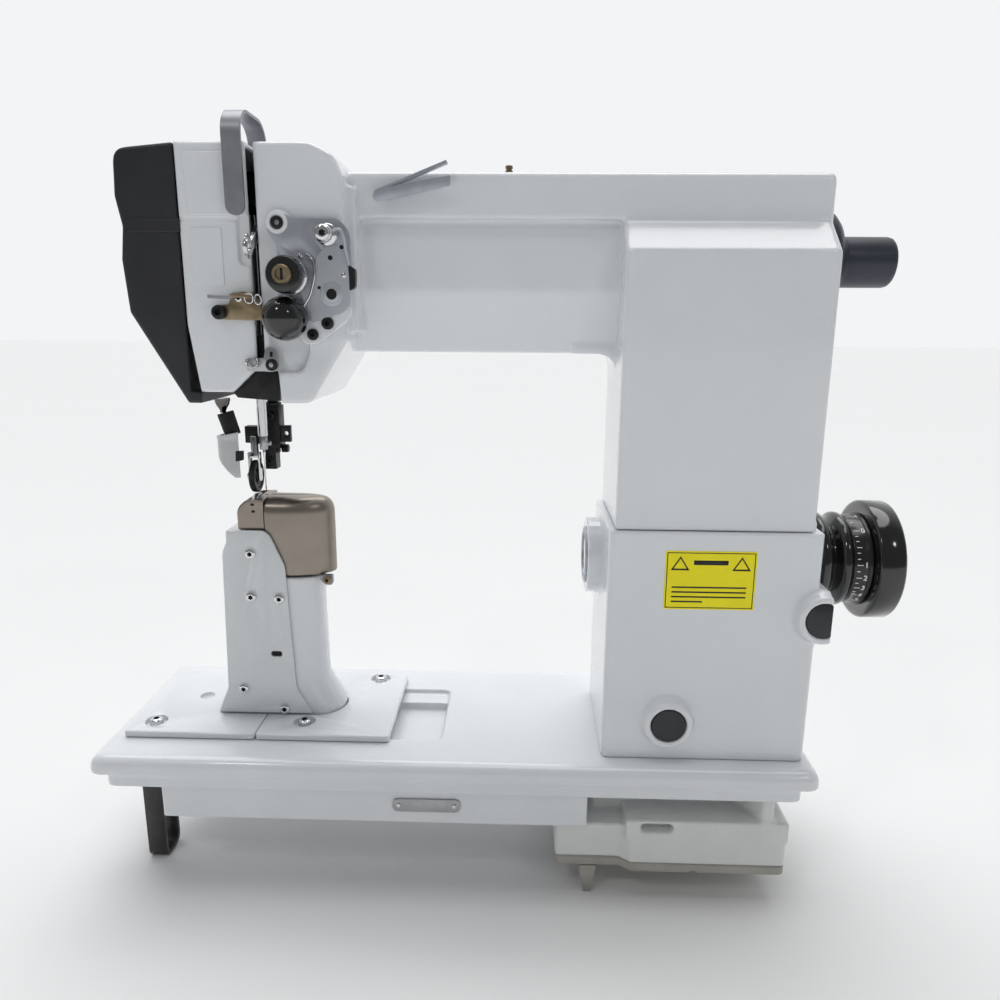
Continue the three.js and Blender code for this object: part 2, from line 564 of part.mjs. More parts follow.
// Finger guard: bent sheet in front of the roller, hung from a rod in the head.
// Sheet bent round the left of the roller: a tube's front left part, trimmed to a pointed outline.
function fingerGuard() {
  const centre = [97.5, 73.7];
  const radius = 12.5;
  const thickness = 1.2;
  const tube = cut(rod('z', centre, radius, 188, 228, { sides: 40 }),
    rod('z', centre, radius - thickness, 187, 229, { sides: 40 }));
  const trim = prism('y', outline([
    [84, 221], [84.6, 212], [87, 206, 4], [97.5, 192, 2], [101, 190.5, 1], [103.2, 193], [103.2, 226], [99, 225],
  ]), 50, 78);
  return tube.intersect(trim);
}
add('finger_guard', fingerGuard(), steel());

function leaning([x0, y0, z0], [x1, y1, z1], r0, r1, sides) {
  const a = new THREE.Vector3(x0, y0, z0);
  const b = new THREE.Vector3(x1, y1, z1);
  const direction = b.clone().sub(a);
  const geometry = new THREE.CylinderGeometry(r1, r0, direction.length(), sides);
  const up = new THREE.Vector3(0, 1, 0);
  const turn = new THREE.Quaternion().setFromUnitVectors(up, direction.clone().normalize());
  geometry.applyQuaternion(turn);
  geometry.translate(...a.add(b).multiplyScalar(0.5).toArray());
  return solidOf(geometry);
}
add('guard_sleeve', leaning([97.4, 68.5, 221.6], [92.6, 68.5, 238], 5.6, 5.9, 20), rubber());
add('guard_rod', leaning([92.4, 68.5, 238.6], [91.2, 68.5, 248.4], 2.8, 4.8, 14), blackened());

// ---- thread handling on the head's front ----
function tensionPlate() {
  const plate = prism('y', outline([
    [147, 356.5, 3], [149, 367, 4], [158, 367.5, 3], [163.5, 364.8, 2], [192, 364.8, 5], [198, 357, 4],
    [198.4, 338], [196.6, 315, 5], [190.6, 309.6, 3], [170, 302.2, 2], [165, 296, 3], [152, 296, 3],
    [151.6, 316], [153.2, 349, 3],
  ]), 15.2, HEAD.front - GAP, { curve: 3 });
  const holes = [[167.4, 342.6, 1.4], [192.4, 346, 1.2], [186, 340.3, 1.6], [193.2, 330, 1.4], [178.6, 323, 1.1]];
  return cut(plate, ...holes.map(([x, z, r]) => rod('y', [x, z], r, 10, 30, { sides: 10 })),
    rod('y', [TENSION.x, TENSION.z], 3.3, 10, 30, { sides: 16 }),
    rod('y', [DOME.x, DOME.z], 3.3, 10, 30, { sides: 16 }),
    rod('y', [184.5, 355], 2.3, 10, 30, { sides: 10 }));
}
add('tension_plate', tensionPlate(), zinc());

add('tension_discs', turned('y', [TENSION.x, TENSION.z], [
  [19.7, 0], [19.7, 3], [14.6, 3], [14.6, 8], [13.4, 8], [11.6, 11.4], [11.2, 11.4], [10.6, 6], [10, 11.4],
  [9.6, 11.4], [7.6, 8], [6.4, 3], [-5, 3], [-5, 0],
], 24), steel());

function knurled(axis, at, radius, from, to, ridges, depth) {
  const shape = new THREE.Shape();
  for (let i = 0; i < ridges * 2; i += 1) {
    const angle = (i / (ridges * 2)) * 2 * Math.PI;
    const r = i % 2 ? radius : radius - depth;
    const [px, py] = [at[0] + r * Math.cos(angle), at[1] + r * Math.sin(angle)];
    if (i === 0) shape.moveTo(px, py);
    else shape.lineTo(px, py);
  }
  shape.closePath();
  return prism(axis, shape, from, to, { bevel: 0.6, rings: 1 });
}
add('tension_nut', cut(
  join(knurled('y', [TENSION.x, TENSION.z], 11.3, -4, 6, 16, 0.8),
    rod('y', [TENSION.x, TENSION.z], 6.3, -8, -3, { sides: 20, endRadius: 6.8 })),
  rod('y', [TENSION.x, TENSION.z], 3 + GAP, -20, 20, { sides: 16 })), blackGloss());

// Check spring: wire arm beside the tension discs.
function checkSpring() {
  const path = new THREE.CatmullRomCurve3([
    [160, 304.6], [168, 312], [173.2, 322], [176, 334], [175.6, 342], [171.6, 343],
  ].map(([x, z]) => new THREE.Vector3(x, 12.4, z)));
  const section = new THREE.Shape().absarc(0, 0, 0.8, 0, 2 * Math.PI);
  const wire = solidOf(new THREE.ExtrudeGeometry(section,
    { steps: 10, curveSegments: 3, bevelEnabled: false, extrudePath: path }));
  const ring = rod('y', [DOME.x, DOME.z], 6, 11.6, 13.2, { sides: 20 });
  return cut(join(wire, ring), rod('y', [DOME.x, DOME.z], 3 + GAP, 5, 20, { sides: 16 }));
}
add('check_spring', checkSpring(), steel());

add('dome_knob', join(
  turned('y', [DOME.x, DOME.z], [
    [11.2, 0], [11.2, 13], [9.5, 14], [4, 13.8], [-0.5, 12], [-4, 8.5], [-5.8, 4.5], [-6.4, 0],
  ], 24), rod('y', [DOME.x, DOME.z], 3, 8, HEAD.front - 0.6, { sides: 16 })), blackGloss());

add('guide_stud', turned('y', [184.5, 355], [
  [22, 0], [22, 2], [15, 2], [15, 6.8], [12.6, 6.8], [12.2, 4], [9, 3.2], [8, 5], [5.4, 5.6], [3.6, 3.6], [3, 0],
], 16), chrome());

function threadBracket() {
  const leaf = prism('y', outline([
    [110, 304, 3], [110, 312, 3], [119.5, 313], [122, 319, 2], [128.6, 321, 2], [136, 319], [141.6, 309.5, 1],
    [141.6, 303.4, 1], [131, 303, 1], [118, 303.4, 1],
  ]), 17.2, HEAD.front - GAP);
  const shelf = prism('x', outline([[11.5, 317], [11.5, 319], [18.5, 320.4], [18.5, 317.6]]), 122.4, 136);
  return join(leaf, shelf);
}
add('thread_bracket', threadBracket(), brass());

function lowerBracket() {
  const leaf = prism('y', outline([
    [127.4, 278.6, 1], [128.6, 271, 1], [141, 271, 1], [144, 270.6, 3], [148.6, 271.6, 3], [148.8, 285, 3.5],
    [141.4, 287, 3], [139.8, 279.6],
  ]), 17.6, HEAD.front - GAP);
  const screw = rod('y', [144.9, 275.2], 3.2, 15.4, 18, { sides: 16 });
  return join(leaf, screw);
}
add('lower_bracket', lowerBracket(), steel());

// ---- post ----
function postCasting() {
  const foot = loft([
    postRing(75, 168.4, 60.5, 102.5, GAP, 3),
    postRing(75, 170.4, 60.5, 102.5, 10, 3),
    postRing(84.5, 158, POST.front, POST.back, 34, 5),
    postRing(87, 157, POST.front, POST.back, 100, 5),
    postRing(87, 157.6, POST.front, POST.back, 101.5, 5),
    postRing(87, 157.6, POST.front, POST.back, POST.bodyTop, 5),
  ]);
  const neck = box(88, 117, POST.front, POST.back, POST.bodyTop - 4, POST.neckTop);
  const flatFront = box(60, 180, 50, POST.front, -5, 200);
  const inside = box(93, 150, 69, 91, -5, POST.bodyTop - 6);
  const neckInside = box(93, 112, 71, 91, 90, 146);
  const wheelSlot = box(ROLLER.x - 3, ROLLER.x + 3, 80 - FEED_WHEEL.radius - 1, 80 + FEED_WHEEL.radius + 0.8,
    130, POST.neckTop + 5);
  const shaftHole = rod('z', [HOOK.x, HOOK.y], 5 + 0.5, 90, 160);
  const axleSeat = rod('x', [80, FEED_WHEEL.z], 3, 96, 122, { sides: 16 });
  const solid = cut(join(foot, neck), flatFront, inside, neckInside, wheelSlot, shaftHole, axleSeat);
  return solid;
}
add('post_casting', postCasting(), enamel());

function postCover() {
  const plate = prism('y', outline([
    [75, 4 + GAP + 2.6, 1], [83.4, 26, 3], [86.4, 136, 4], [92.6, 148.6, 3], [97.6, 152.4, 2], [117.6, 152.4, 2],
    [122, 149, 2], [132.2, 125, 4], [132.6, 112], [136, 27, 4], [147.4, 4 + GAP + 2.6, 1],
  ]), 59.3, 61.7);
  const slot = prism('y', rectangle(118.2, 126.6, 53.3, 58, 2.3), 58, 66);
  const screwHoles = [[107.4, 135], [106, 101.4], [127.1, 100.2], [95.7, 26.8], [127, 13]].map((at) =>
    rod('y', at, 1.6, 58, 66, { sides: 8 }));
  return cut(plate, slot, ...screwHoles);
}
add('post_cover', postCover(), enamel());

function needlePlate() {
  const foot = POST.neckTop + GAP + 0.4;
  const outer = prism('y', outline([
    [98, foot], [98, 168, 4], [105, POST.top, 4], [118, POST.top], [118, foot],
  ]), 62.4, 98, { bevel: 1, rings: 2 });
  const wheelSlot = box(ROLLER.x - 3, ROLLER.x + 3, 80 - FEED_WHEEL.radius - 1, 80 + FEED_WHEEL.radius + 1, 140, 180);
  const needleHole = rod('z', [NEEDLE.x, NEEDLE.y], 1.2, 140, 180, { sides: 12 });
  const axleSeat = rod('x', [80, FEED_WHEEL.z], 3, 100.5, 114, { sides: 16 });
  return cut(outer, wheelSlot, needleHole, axleSeat);
}
add('needle_plate', needlePlate(), nickel());

add('feed_wheel', join(
  turned('x', [80, FEED_WHEEL.z], [
    [ROLLER.x - 2.2, 0], [ROLLER.x - 2.2, FEED_WHEEL.radius - 0.5], [ROLLER.x - 1.7, FEED_WHEEL.radius],
    [ROLLER.x + 1.7, FEED_WHEEL.radius], [ROLLER.x + 2.2, FEED_WHEEL.radius - 0.5], [ROLLER.x + 2.2, 0],
  ], 28), rod('x', [80, FEED_WHEEL.z], 2.6, 102, 113.6, { sides: 16 })), steel());

function hookCover() {
  const wall = 1.8;
  const bottom = 117;
  const right = 166.2;
  const reach = 34; // length of the rounded end
  const crown = (inset, z) => postRing(118.4, right - inset, 62 + inset, 98 - inset, z, 0.4, reach - inset);
  const outer = loft([crown(0.6, bottom), crown(0, bottom + 2), crown(0, 165.5), crown(0.8, 169), crown(2.8, 172.2),
    crown(6, 174.4), crown(11, POST.top + 0.4)]);
  const hollow = (inset, z) => postRing(110, right - inset, 62 + inset, 98 - inset, z, 0.4, reach - inset);
  return cut(outer, loft([hollow(wall, bottom - 5), hollow(wall, 167.4), hollow(5.4, 171.2)]));
}
add('hook_cover', hookCover(), nickel());

// ---- rotary hook and its drive ----
const hookAt = [HOOK.x, HOOK.y];
add('hook', turned('z', hookAt, [
  [149, 0], [149, 9], [152, HOOK.radius - 0.6], [154, HOOK.radius], [167, HOOK.radius], [167, 13.6],
  [152.4, 13.6], [152.4, 0],
], 24), steel());
add('bobbin_case', cut(
  turned('z', hookAt, [
    [152.8, 0], [152.8, 12.6], [153.6, 13.2], [168.4, 13.2], [168.4, 11.8], [154.4, 11.8], [154.4, 2.2], [166, 2.2],
    [166.6, 1.6], [166.6, 0],
  ], 20), box(HOOK.x - 2, HOOK.x + 2, 60, HOOK.y - 11, 163, 172)), chrome());
add('bobbin', turned('z', hookAt, [
  [154.8, 2.6], [154.8, 11.2], [155.8, 11.2], [155.8, 5], [164, 5], [164, 11.2], [165, 11.2], [165, 2.6], [154.8, 2.6],
], 16), zinc());

// Bevel gears: the bed gear has twice the teeth of the hook gear, so the hook turns twice.
const CONE = { hook: Math.atan(0.5), bed: Math.atan(2), outer: 20, inner: 13 };
const flat = (angle, distance) => [distance * Math.sin(angle), distance * Math.cos(angle)];
function hookShaft() {
  const [rOut, hOut] = flat(CONE.hook, CONE.outer);
  const [rIn, hIn] = flat(CONE.hook, CONE.inner);
  const lift = 1.0;
  const at = (z) => (x, y) => [HOOK.x + x, HOOK.y + y, z];
  const gear = loft([
    gearRing(10, rIn, 0.9, at(LOWER.z + hIn + lift)),
    gearRing(10, rOut, 1.3, at(LOWER.z + hOut + lift)),
    gearRing(10, rOut - 2, 1.3, at(LOWER.z + hOut + lift + 2.4)),
  ]);
  return join(gear, rod('z', hookAt, 5, LOWER.z + hOut, 149 - GAP));
}
add('hook_shaft', hookShaft(), steel());

const LOWER_END = 432;
function bedShaft() {
  const [rOut, hOut] = flat(CONE.bed, CONE.outer);
  const [rIn, hIn] = flat(CONE.bed, CONE.inner);
  const at = (x) => (y, z) => [x, LOWER.y + y, LOWER.z + z];
  const shift = HOOK.x + 0.6;
  const turnedRings = [
    gearRing(20, rIn, 0.9, at(shift + hIn)),
    gearRing(20, rOut, 1.3, at(shift + hOut)),
    gearRing(20, rOut - 1, 1.3, at(shift + hOut + 4)),
  ];
  return join(loftAlongX(turnedRings), rod('x', [LOWER.y, LOWER.z], 6, shift + hOut, LOWER_END),
    rod('x', [LOWER.y, LOWER.z], DRIVE_R, 408, 424, { sides: 28 }));
}

// Rings that stand across X: swing them flat, loft them, and swing the solid back.
function loftAlongX(rings) {
  const flatRings = rings.map((ring) => ring.map(([x, y, z]) => [y, z, x]));
  return loft(flatRings).transform([0, 1, 0, 0, 0, 0, 1, 0, 1, 0, 0, 0, 0, 0, 0, 1]);
}
add('bed_shaft', bedShaft(), steel());

function mainShaft() {
  const at = [MAIN.y, MAIN.z];
  return join(
    rod('x', at, SHAFT_R, RISER.left - 6, 584, { sides: 24 }),
    rod('x', at, DRIVE_R, 408, 424, { sides: 28 }),
    rod('x', at, TIMING_R, 440, 460, { sides: 28 }),
  );
}
add('main_shaft', mainShaft(), steel());

function upperShaft() {
  const at = [UPPER.y, UPPER.z];
  const throwRadius = 17; // half the needle bar's stroke
  const disc = rod('x', at, 26, 142, 152, { sides: 28 });
  const pin = rod('x', [UPPER.y, UPPER.z + throwRadius], 4, 141, 147, { sides: 16 });
  return join(rod('x', at, SHAFT_R, 147, 502, { sides: 20 }), disc, pin,
    rod('x', at, TIMING_R, 440, 460, { sides: 28 }));
}
add('upper_shaft', upperShaft(), steel());

// Closed belt round two pulleys that share a plane across X.
function belt(x0, x1, a, b, radius, thickness) {
  const direction = Math.atan2(b.z - a.z, b.y - a.y);
  const track = (r) => {
    const shape = new THREE.Shape();
    shape.absarc(b.y, b.z, r, direction - Math.PI / 2, direction + Math.PI / 2, false);
    shape.absarc(a.y, a.z, r, direction + Math.PI / 2, direction + Math.PI * 1.5, false);
    shape.closePath();
    return shape;
  };
  const outer = track(radius + GAP + thickness);
  outer.holes.push(track(radius + GAP));
  return prism('x', outer, x0, x1, { curve: 8 });
}
add('timing_belt', belt(441, 459, MAIN, UPPER, TIMING_R, 2.5), rubber());
add('bed_belt', belt(409, 423, LOWER, MAIN, DRIVE_R, 2.5), rubber());

// ---- handwheel group ----
const mainAt = [MAIN.y, MAIN.z];
const shaftHole = (end) => rod('x', mainAt, SHAFT_R + GAP, 500, end, { sides: 24 });
add('belt_pulley', cut(turned('x', mainAt, [
  [516.4, 0], [516.4, 24], [518.4, 32], [521, 34.5], [525, 33.6], [528.8, 27], [530.8, 27], [533.8, 33.4],
  [537, 34.6], [540.2, 33], [540.2, 0],
], 28), shaftHole(545)), blackGloss());
add('stitch_dial', cut(turned('x', mainAt, [
  [540.6, 0], [540.6, 31.4], [541.4, 32.2], [550.6, 33], [551.4, 34], [553.8, 34], [553.8, 0],
], 28), shaftHole(560)), blackGloss());
add('handwheel', cut(turned('x', mainAt, [
  [554.2, 0], [554.2, 39], [554.8, 42.2], [556.6, 43.2], [570.6, 43.2], [572.6, 41.6], [573.4, 38], [573, 30],
  [570, 26], [570, 14], [573, 12.6], [583.6, 11.6], [585.6, 10], [585.6, 0],
], 32), shaftHole(584.3)), blackGloss());

export default machine;
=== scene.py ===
"""Looks of the post-bed leather sewing machine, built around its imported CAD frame.

Sizes are in millimetres from the bed's front left corner: x to the right, y away from the
operator, z up from the bed's top. place() turns them into the frame's metres.
"""
import math

import bmesh
import bpy
from mathutils import Matrix, Vector


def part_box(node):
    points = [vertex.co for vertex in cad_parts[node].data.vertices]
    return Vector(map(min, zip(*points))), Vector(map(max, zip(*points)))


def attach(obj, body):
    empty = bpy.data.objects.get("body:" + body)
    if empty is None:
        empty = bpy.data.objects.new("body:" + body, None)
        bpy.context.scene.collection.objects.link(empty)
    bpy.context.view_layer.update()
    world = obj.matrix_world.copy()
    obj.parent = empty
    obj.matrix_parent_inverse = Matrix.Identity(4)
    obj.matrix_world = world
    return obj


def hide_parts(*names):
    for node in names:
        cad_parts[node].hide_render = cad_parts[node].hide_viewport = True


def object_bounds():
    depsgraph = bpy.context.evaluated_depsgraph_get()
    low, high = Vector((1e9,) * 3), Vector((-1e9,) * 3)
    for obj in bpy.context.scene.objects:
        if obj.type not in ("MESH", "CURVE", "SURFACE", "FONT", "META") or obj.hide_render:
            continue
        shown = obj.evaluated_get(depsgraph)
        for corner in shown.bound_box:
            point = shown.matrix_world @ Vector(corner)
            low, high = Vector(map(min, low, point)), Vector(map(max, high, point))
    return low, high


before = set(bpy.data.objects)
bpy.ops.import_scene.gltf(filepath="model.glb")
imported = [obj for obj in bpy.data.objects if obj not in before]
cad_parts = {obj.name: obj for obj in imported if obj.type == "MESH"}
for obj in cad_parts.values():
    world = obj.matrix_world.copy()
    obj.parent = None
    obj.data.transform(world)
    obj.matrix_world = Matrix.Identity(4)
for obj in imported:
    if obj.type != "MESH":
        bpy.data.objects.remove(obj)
cad_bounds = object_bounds()

MM = 0.001
bed_low, bed_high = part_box("bed_casting")
CORNER = Vector((bed_low.x, bed_low.y, bed_high.z))
FLOOR_Z = cad_bounds[0][2]
FIXED = "machine"  # the body of everything that doesn't move


def place(x, y, z):
    return CORNER + Vector((x, y, z)) * MM


def span(node):
    """A node's lowest and highest corner in millimetres from the bed's corner."""
    low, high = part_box(node)
    return (low - CORNER) / MM, (high - CORNER) / MM


def middle(node):
    low, high = span(node)
    return (low + high) / 2


# ---- materials ----
def tinted(colour, factor):
    return (*[min(1.0, c * factor) for c in colour], 1.0)


def finish(name, colour, roughness, metallic=0.0, coat=0.0, mottle=(60, 0.04), grain=(700, 0.00003),
           brush=(1, 1, 1), spread=0.06, specks=0.0):
    """Procedural finish. mottle is the scale and strength of slow colour change, grain the scale
    and height in metres of the fine relief, and brush stretches the grain along an axis."""
    material = bpy.data.materials.new(name)
    material.use_nodes = True
    nodes, links = material.node_tree.nodes, material.node_tree.links
    shader = nodes["Principled BSDF"]
    shader.inputs["Metallic"].default_value = metallic
    shader.inputs["Coat Weight"].default_value = coat
    shader.inputs["Coat Roughness"].default_value = 0.08
    coordinates = nodes.new("ShaderNodeTexCoord")

    slow = nodes.new("ShaderNodeTexNoise")
    slow.inputs["Scale"].default_value = mottle[0]
    slow.inputs["Detail"].default_value = 5
    links.new(coordinates.outputs["Object"], slow.inputs["Vector"])
    ramp = nodes.new("ShaderNodeValToRGB")
    ramp.color_ramp.elements[0].position = 0.3
    ramp.color_ramp.elements[0].color = tinted(colour, 1 - mottle[1])
    ramp.color_ramp.elements[1].position = 0.7
    ramp.color_ramp.elements[1].color = tinted(colour, 1 + mottle[1])
    links.new(slow.outputs["Fac"], ramp.inputs["Fac"])

    stretch = nodes.new("ShaderNodeMapping")
    stretch.inputs["Scale"].default_value = brush
    links.new(coordinates.outputs["Object"], stretch.inputs["Vector"])
    fine = nodes.new("ShaderNodeTexNoise")
    fine.inputs["Scale"].default_value = grain[0]
    fine.inputs["Detail"].default_value = 3
    links.new(stretch.outputs["Vector"], fine.inputs["Vector"])
    gloss = nodes.new("ShaderNodeMapRange")
    gloss.inputs["To Min"].default_value = max(0.02, roughness - spread)
    gloss.inputs["To Max"].default_value = roughness + spread
    links.new(fine.outputs["Fac"], gloss.inputs["Value"])
    links.new(gloss.outputs["Result"], shader.inputs["Roughness"])
    relief = nodes.new("ShaderNodeBump")
    relief.inputs["Distance"].default_value = grain[1]
    links.new(fine.outputs["Fac"], relief.inputs["Height"])
    links.new(relief.outputs["Normal"], shader.inputs["Normal"])

    base = ramp.outputs["Color"]
    if specks > 0:
        spots = nodes.new("ShaderNodeTexNoise")
        spots.inputs["Scale"].default_value = 420
        spots.inputs["Detail"].default_value = 6
        links.new(coordinates.outputs["Object"], spots.inputs["Vector"])
        mask = nodes.new("ShaderNodeMapRange")
        mask.inputs["From Min"].default_value = 0.66
        mask.inputs["From Max"].default_value = 0.74
        mask.inputs["To Max"].default_value = specks
        links.new(spots.outputs["Fac"], mask.inputs["Value"])
        worn = nodes.new("ShaderNodeMix")
        worn.data_type = "RGBA"
        links.new(mask.outputs["Result"], worn.inputs["Factor"])
        links.new(base, worn.inputs["A"])
        worn.inputs["B"].default_value = tinted(colour, 0.55)
        base = worn.outputs["Result"]
    links.new(base, shader.inputs["Base Color"])
    return material


WHITE = (0.79, 0.815, 0.84)
enamel = finish("enamel", WHITE, 0.2, coat=0.6, mottle=(25, 0.012), grain=(420, 0.00015))
enamel_bed = finish("enamel_bed", WHITE, 0.22, coat=0.5, mottle=(25, 0.015), grain=(330, 0.00016))
enamel_rough = finish("enamel_rough", (0.76, 0.775, 0.76), 0.3, coat=0.3, mottle=(30, 0.04),
                      grain=(210, 0.0005), specks=0.06)
enamel_sheet = finish("enamel_sheet", (0.74, 0.775, 0.79), 0.26, coat=0.3, mottle=(30, 0.012),
                      grain=(700, 0.00004))
black_cap = finish("black_moulded", (0.017, 0.018, 0.021), 0.42, mottle=(45, 0.2), grain=(1500, 0.00003))
blue_black = finish("blue_black_moulded", (0.022, 0.028, 0.042), 0.38, mottle=(45, 0.2),
                    grain=(1300, 0.00003))
black_gloss = finish("gloss_black", (0.006, 0.006, 0.0065), 0.13, coat=0.6, mottle=(60, 0.2),
                     grain=(250, 0.00004), spread=0.04)
black_satin = finish("satin_black_metal", (0.011, 0.010, 0.0095), 0.24, coat=0.2, mottle=(60, 0.2),
                     grain=(500, 0.00003), spread=0.05)
black_metal = finish("blackened_steel", (0.02, 0.02, 0.021), 0.4, metallic=0.6, mottle=(120, 0.35),
                     grain=(900, 0.00004), specks=0.3)
black_paint = finish("black_paint", (0.022, 0.020, 0.020), 0.45, coat=0.15, mottle=(80, 0.3),
                     grain=(350, 0.00012), specks=0.25)
rubber = finish("black_rubber", (0.012, 0.012, 0.012), 0.75, mottle=(90, 0.2), grain=(1200, 0.00005))
steel = finish("ground_steel", (0.44, 0.445, 0.455), 0.3, metallic=0.9, mottle=(70, 0.06),
               grain=(300, 0.000003), brush=(1, 1, 9))
polished = finish("polished_steel", (0.62, 0.625, 0.635), 0.12, metallic=1, mottle=(60, 0.05),
                  grain=(400, 0.000008), spread=0.05)
chrome = finish("chrome", (0.72, 0.725, 0.74), 0.09, metallic=1, mottle=(60, 0.05),
                grain=(600, 0.000006), spread=0.05)
zinc = finish("zinc_plate", (0.42, 0.445, 0.49), 0.34, metallic=0.55, mottle=(90, 0.08),
              grain=(500, 0.000004))
zinc_light = finish("zinc_step", (0.50, 0.53, 0.57), 0.3, metallic=0.5, mottle=(90, 0.05),
                    grain=(200, 0.000001), spread=0.01)
zinc_dark = finish("zinc_strip", (0.29, 0.295, 0.32), 0.38, metallic=0.6, mottle=(90, 0.1),
                   grain=(900, 0.00002), brush=(1, 1, 6))
nickel = finish("brushed_nickel", (0.30, 0.262, 0.225), 0.33, metallic=1, mottle=(60, 0.05),
                grain=(260, 0.000012), brush=(1, 1, 14), spread=0.08)
brass = finish("dull_brass", (0.30, 0.235, 0.15), 0.38, metallic=1, mottle=(150, 0.2),
               grain=(700, 0.00003), specks=0.3)
iron = finish("bare_casting", (0.40, 0.385, 0.35), 0.5, metallic=0.25, mottle=(70, 0.1),
              grain=(260, 0.0003), specks=0.35)
alloy = finish("rolled_alloy", (0.42, 0.425, 0.43), 0.42, metallic=0.9, mottle=(120, 0.1),
               grain=(700, 0.00002), brush=(0.1, 1, 1))
yellow = finish("yellow_label", (1.0, 0.87, 0.002), 0.55, mottle=(70, 0.03), grain=(800, 0.00001))
ink = finish("black_print", (0.012, 0.012, 0.012), 0.45, mottle=(200, 0.1), grain=(900, 0.00001))
dial_white = finish("dial_white", (0.96, 0.96, 0.95), 0.6, mottle=(200, 0.03), grain=(900, 0.00001))
glass_dark = finish("sight_glass", (0.05, 0.065, 0.06), 0.08, coat=1.0, mottle=(90, 0.25),
                    grain=(300, 0.00001), spread=0.03)
dark_polished = finish("dark_polished_steel", (0.14, 0.13, 0.125), 0.14, metallic=1, mottle=(90, 0.2),
                       grain=(500, 0.00001))
# Near-black painted shade for holes, slots, notches and screw recesses, standing in for the shadow inside
# them.
painted_hole_shade = finish("painted_recess_shade", (0.006, 0.006, 0.006), 0.8, mottle=(90, 0.2), grain=(900, 0.00002))


# ---- building pieces ----
def smooth_shading(mesh, sharp=38):
    for polygon in mesh.polygons:
        polygon.use_smooth = True
    mesh.set_sharp_from_angle(angle=math.radians(sharp))


def piece(name, mesh, material, body=FIXED, stands_for=None, edge=0.0, sharp=38):
    """Puts a mesh on a body in place of the node it stands for, its edges rounded by edge mm."""
    mesh.materials.clear()
    mesh.materials.append(material)
    smooth_shading(mesh, sharp)
    thing = bpy.data.objects.new(name, mesh)
    bpy.context.scene.collection.objects.link(thing)
    if edge > 0:
        bevel = thing.modifiers.new("edges", "BEVEL")
        bevel.width = edge * MM
        bevel.segments = 3
        bevel.limit_method = "ANGLE"
        bevel.angle_limit = math.radians(35)
        bevel.harden_normals = True
    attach(thing, body)
    if stands_for:
        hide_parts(stands_for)
    return thing


def mesh_of(points, faces):
    mesh = bpy.data.meshes.new("shape")
    mesh.from_pydata([place(*p) for p in points], [], faces)
    tidy = bmesh.new()
    tidy.from_mesh(mesh)
    bmesh.ops.remove_doubles(tidy, verts=tidy.verts, dist=1e-6)
    bmesh.ops.recalc_face_normals(tidy, faces=tidy.faces)
    tidy.to_mesh(mesh)
    tidy.free()
    return mesh


AXES = {
    "x": (Vector((1, 0, 0)), Vector((0, 1, 0)), Vector((0, 0, 1))),
    "y": (Vector((0, 1, 0)), Vector((0, 0, 1)), Vector((1, 0, 0))),
    "z": (Vector((0, 0, 1)), Vector((1, 0, 0)), Vector((0, 1, 0))),
}


def ring(centre, axis, along, radius, sides, wave=None):
    run, side, up = AXES[axis]
    points = []
    for i in range(sides):
        angle = 2 * math.pi * i / sides
        r = radius * (wave(angle) if wave else 1)
        points.append(centre + run * along + (side * math.cos(angle) + up * math.sin(angle)) * r)
    return points


def lofted(rings, closed=False):
    """Faces between rings of the same number of points, with an end face on each end."""
    count = len(rings[0])
    faces = []
    levels = len(rings) if closed else len(rings) - 1
    for level in range(levels):
        a, b = level * count, ((level + 1) % len(rings)) * count
        for i in range(count):
            j = (i + 1) % count
            faces.append((a + i, a + j, b + j, b + i))
    if not closed:
        faces.append(tuple(range(count)))
        faces.append(tuple(range((len(rings) - 1) * count, len(rings) * count)))
    return mesh_of([p for r in rings for p in r], faces)


def grid_faces(rows, columns):
    """Faces of a sheet whose points run row by row, with the same number in every row."""
    return [(r * columns + i, r * columns + i + 1, (r + 1) * columns + i + 1, (r + 1) * columns + i)
            for r in range(rows - 1) for i in range(columns - 1)]


def thicken(sheet, thickness, offset, edge, segments):
    """Gives a sheet its thickness and rounds its edges, both in millimetres."""
    thick = sheet.modifiers.new("thick", "SOLIDIFY")
    thick.thickness = thickness * MM
    thick.offset = offset
    edges = sheet.modifiers.new("edges", "BEVEL")
    edges.width = edge * MM
    edges.segments = segments


def turned(name, axis, centre, profile, material, body=FIXED, stands_for=None, sides=96, edge=0.0,
           hollow=False):
    """Body turned about an axis through centre; profile is (position along the axis, radius)."""
    rings = [ring(Vector(centre), axis, along, max(radius, 0.001), sides) for along, radius in profile]
    piece(name, lofted(rings, hollow), material, body, stands_for, edge)


def rounded(points, steps=6):
    """Outline with arcs at its corners; points are (u, v, radius)."""
    result = []
    for i, (u, v, radius) in enumerate(points):
        corner = Vector((u, v))
        before = Vector(points[i - 1][:2]) - corner
        after = Vector(points[(i + 1) % len(points)][:2]) - corner
        if radius <= 0:
            result.append(corner)
            continue
        reach = min(radius, before.length * 0.49, after.length * 0.49)
        start, end = corner + before.normalized() * reach, corner + after.normalized() * reach
        for step in range(steps + 1):
            t = step / steps
            result.append(start * (1 - t) ** 2 + corner * 2 * t * (1 - t) + end * t * t)
    return result


def rectangle(left, right, bottom, top, radius):
    return [(left, bottom, radius), (right, bottom, radius), (right, top, radius), (left, top, radius)]


def prism(name, outline, front, back, material, body=FIXED, edge=0.3):
    """Outline of x and z, from y = front to y = back."""
    rings = [[(p.x, y, p.y) for p in rounded(outline)] for y in (front, back)]
    piece(name, lofted(rings), material, body, edge=edge)


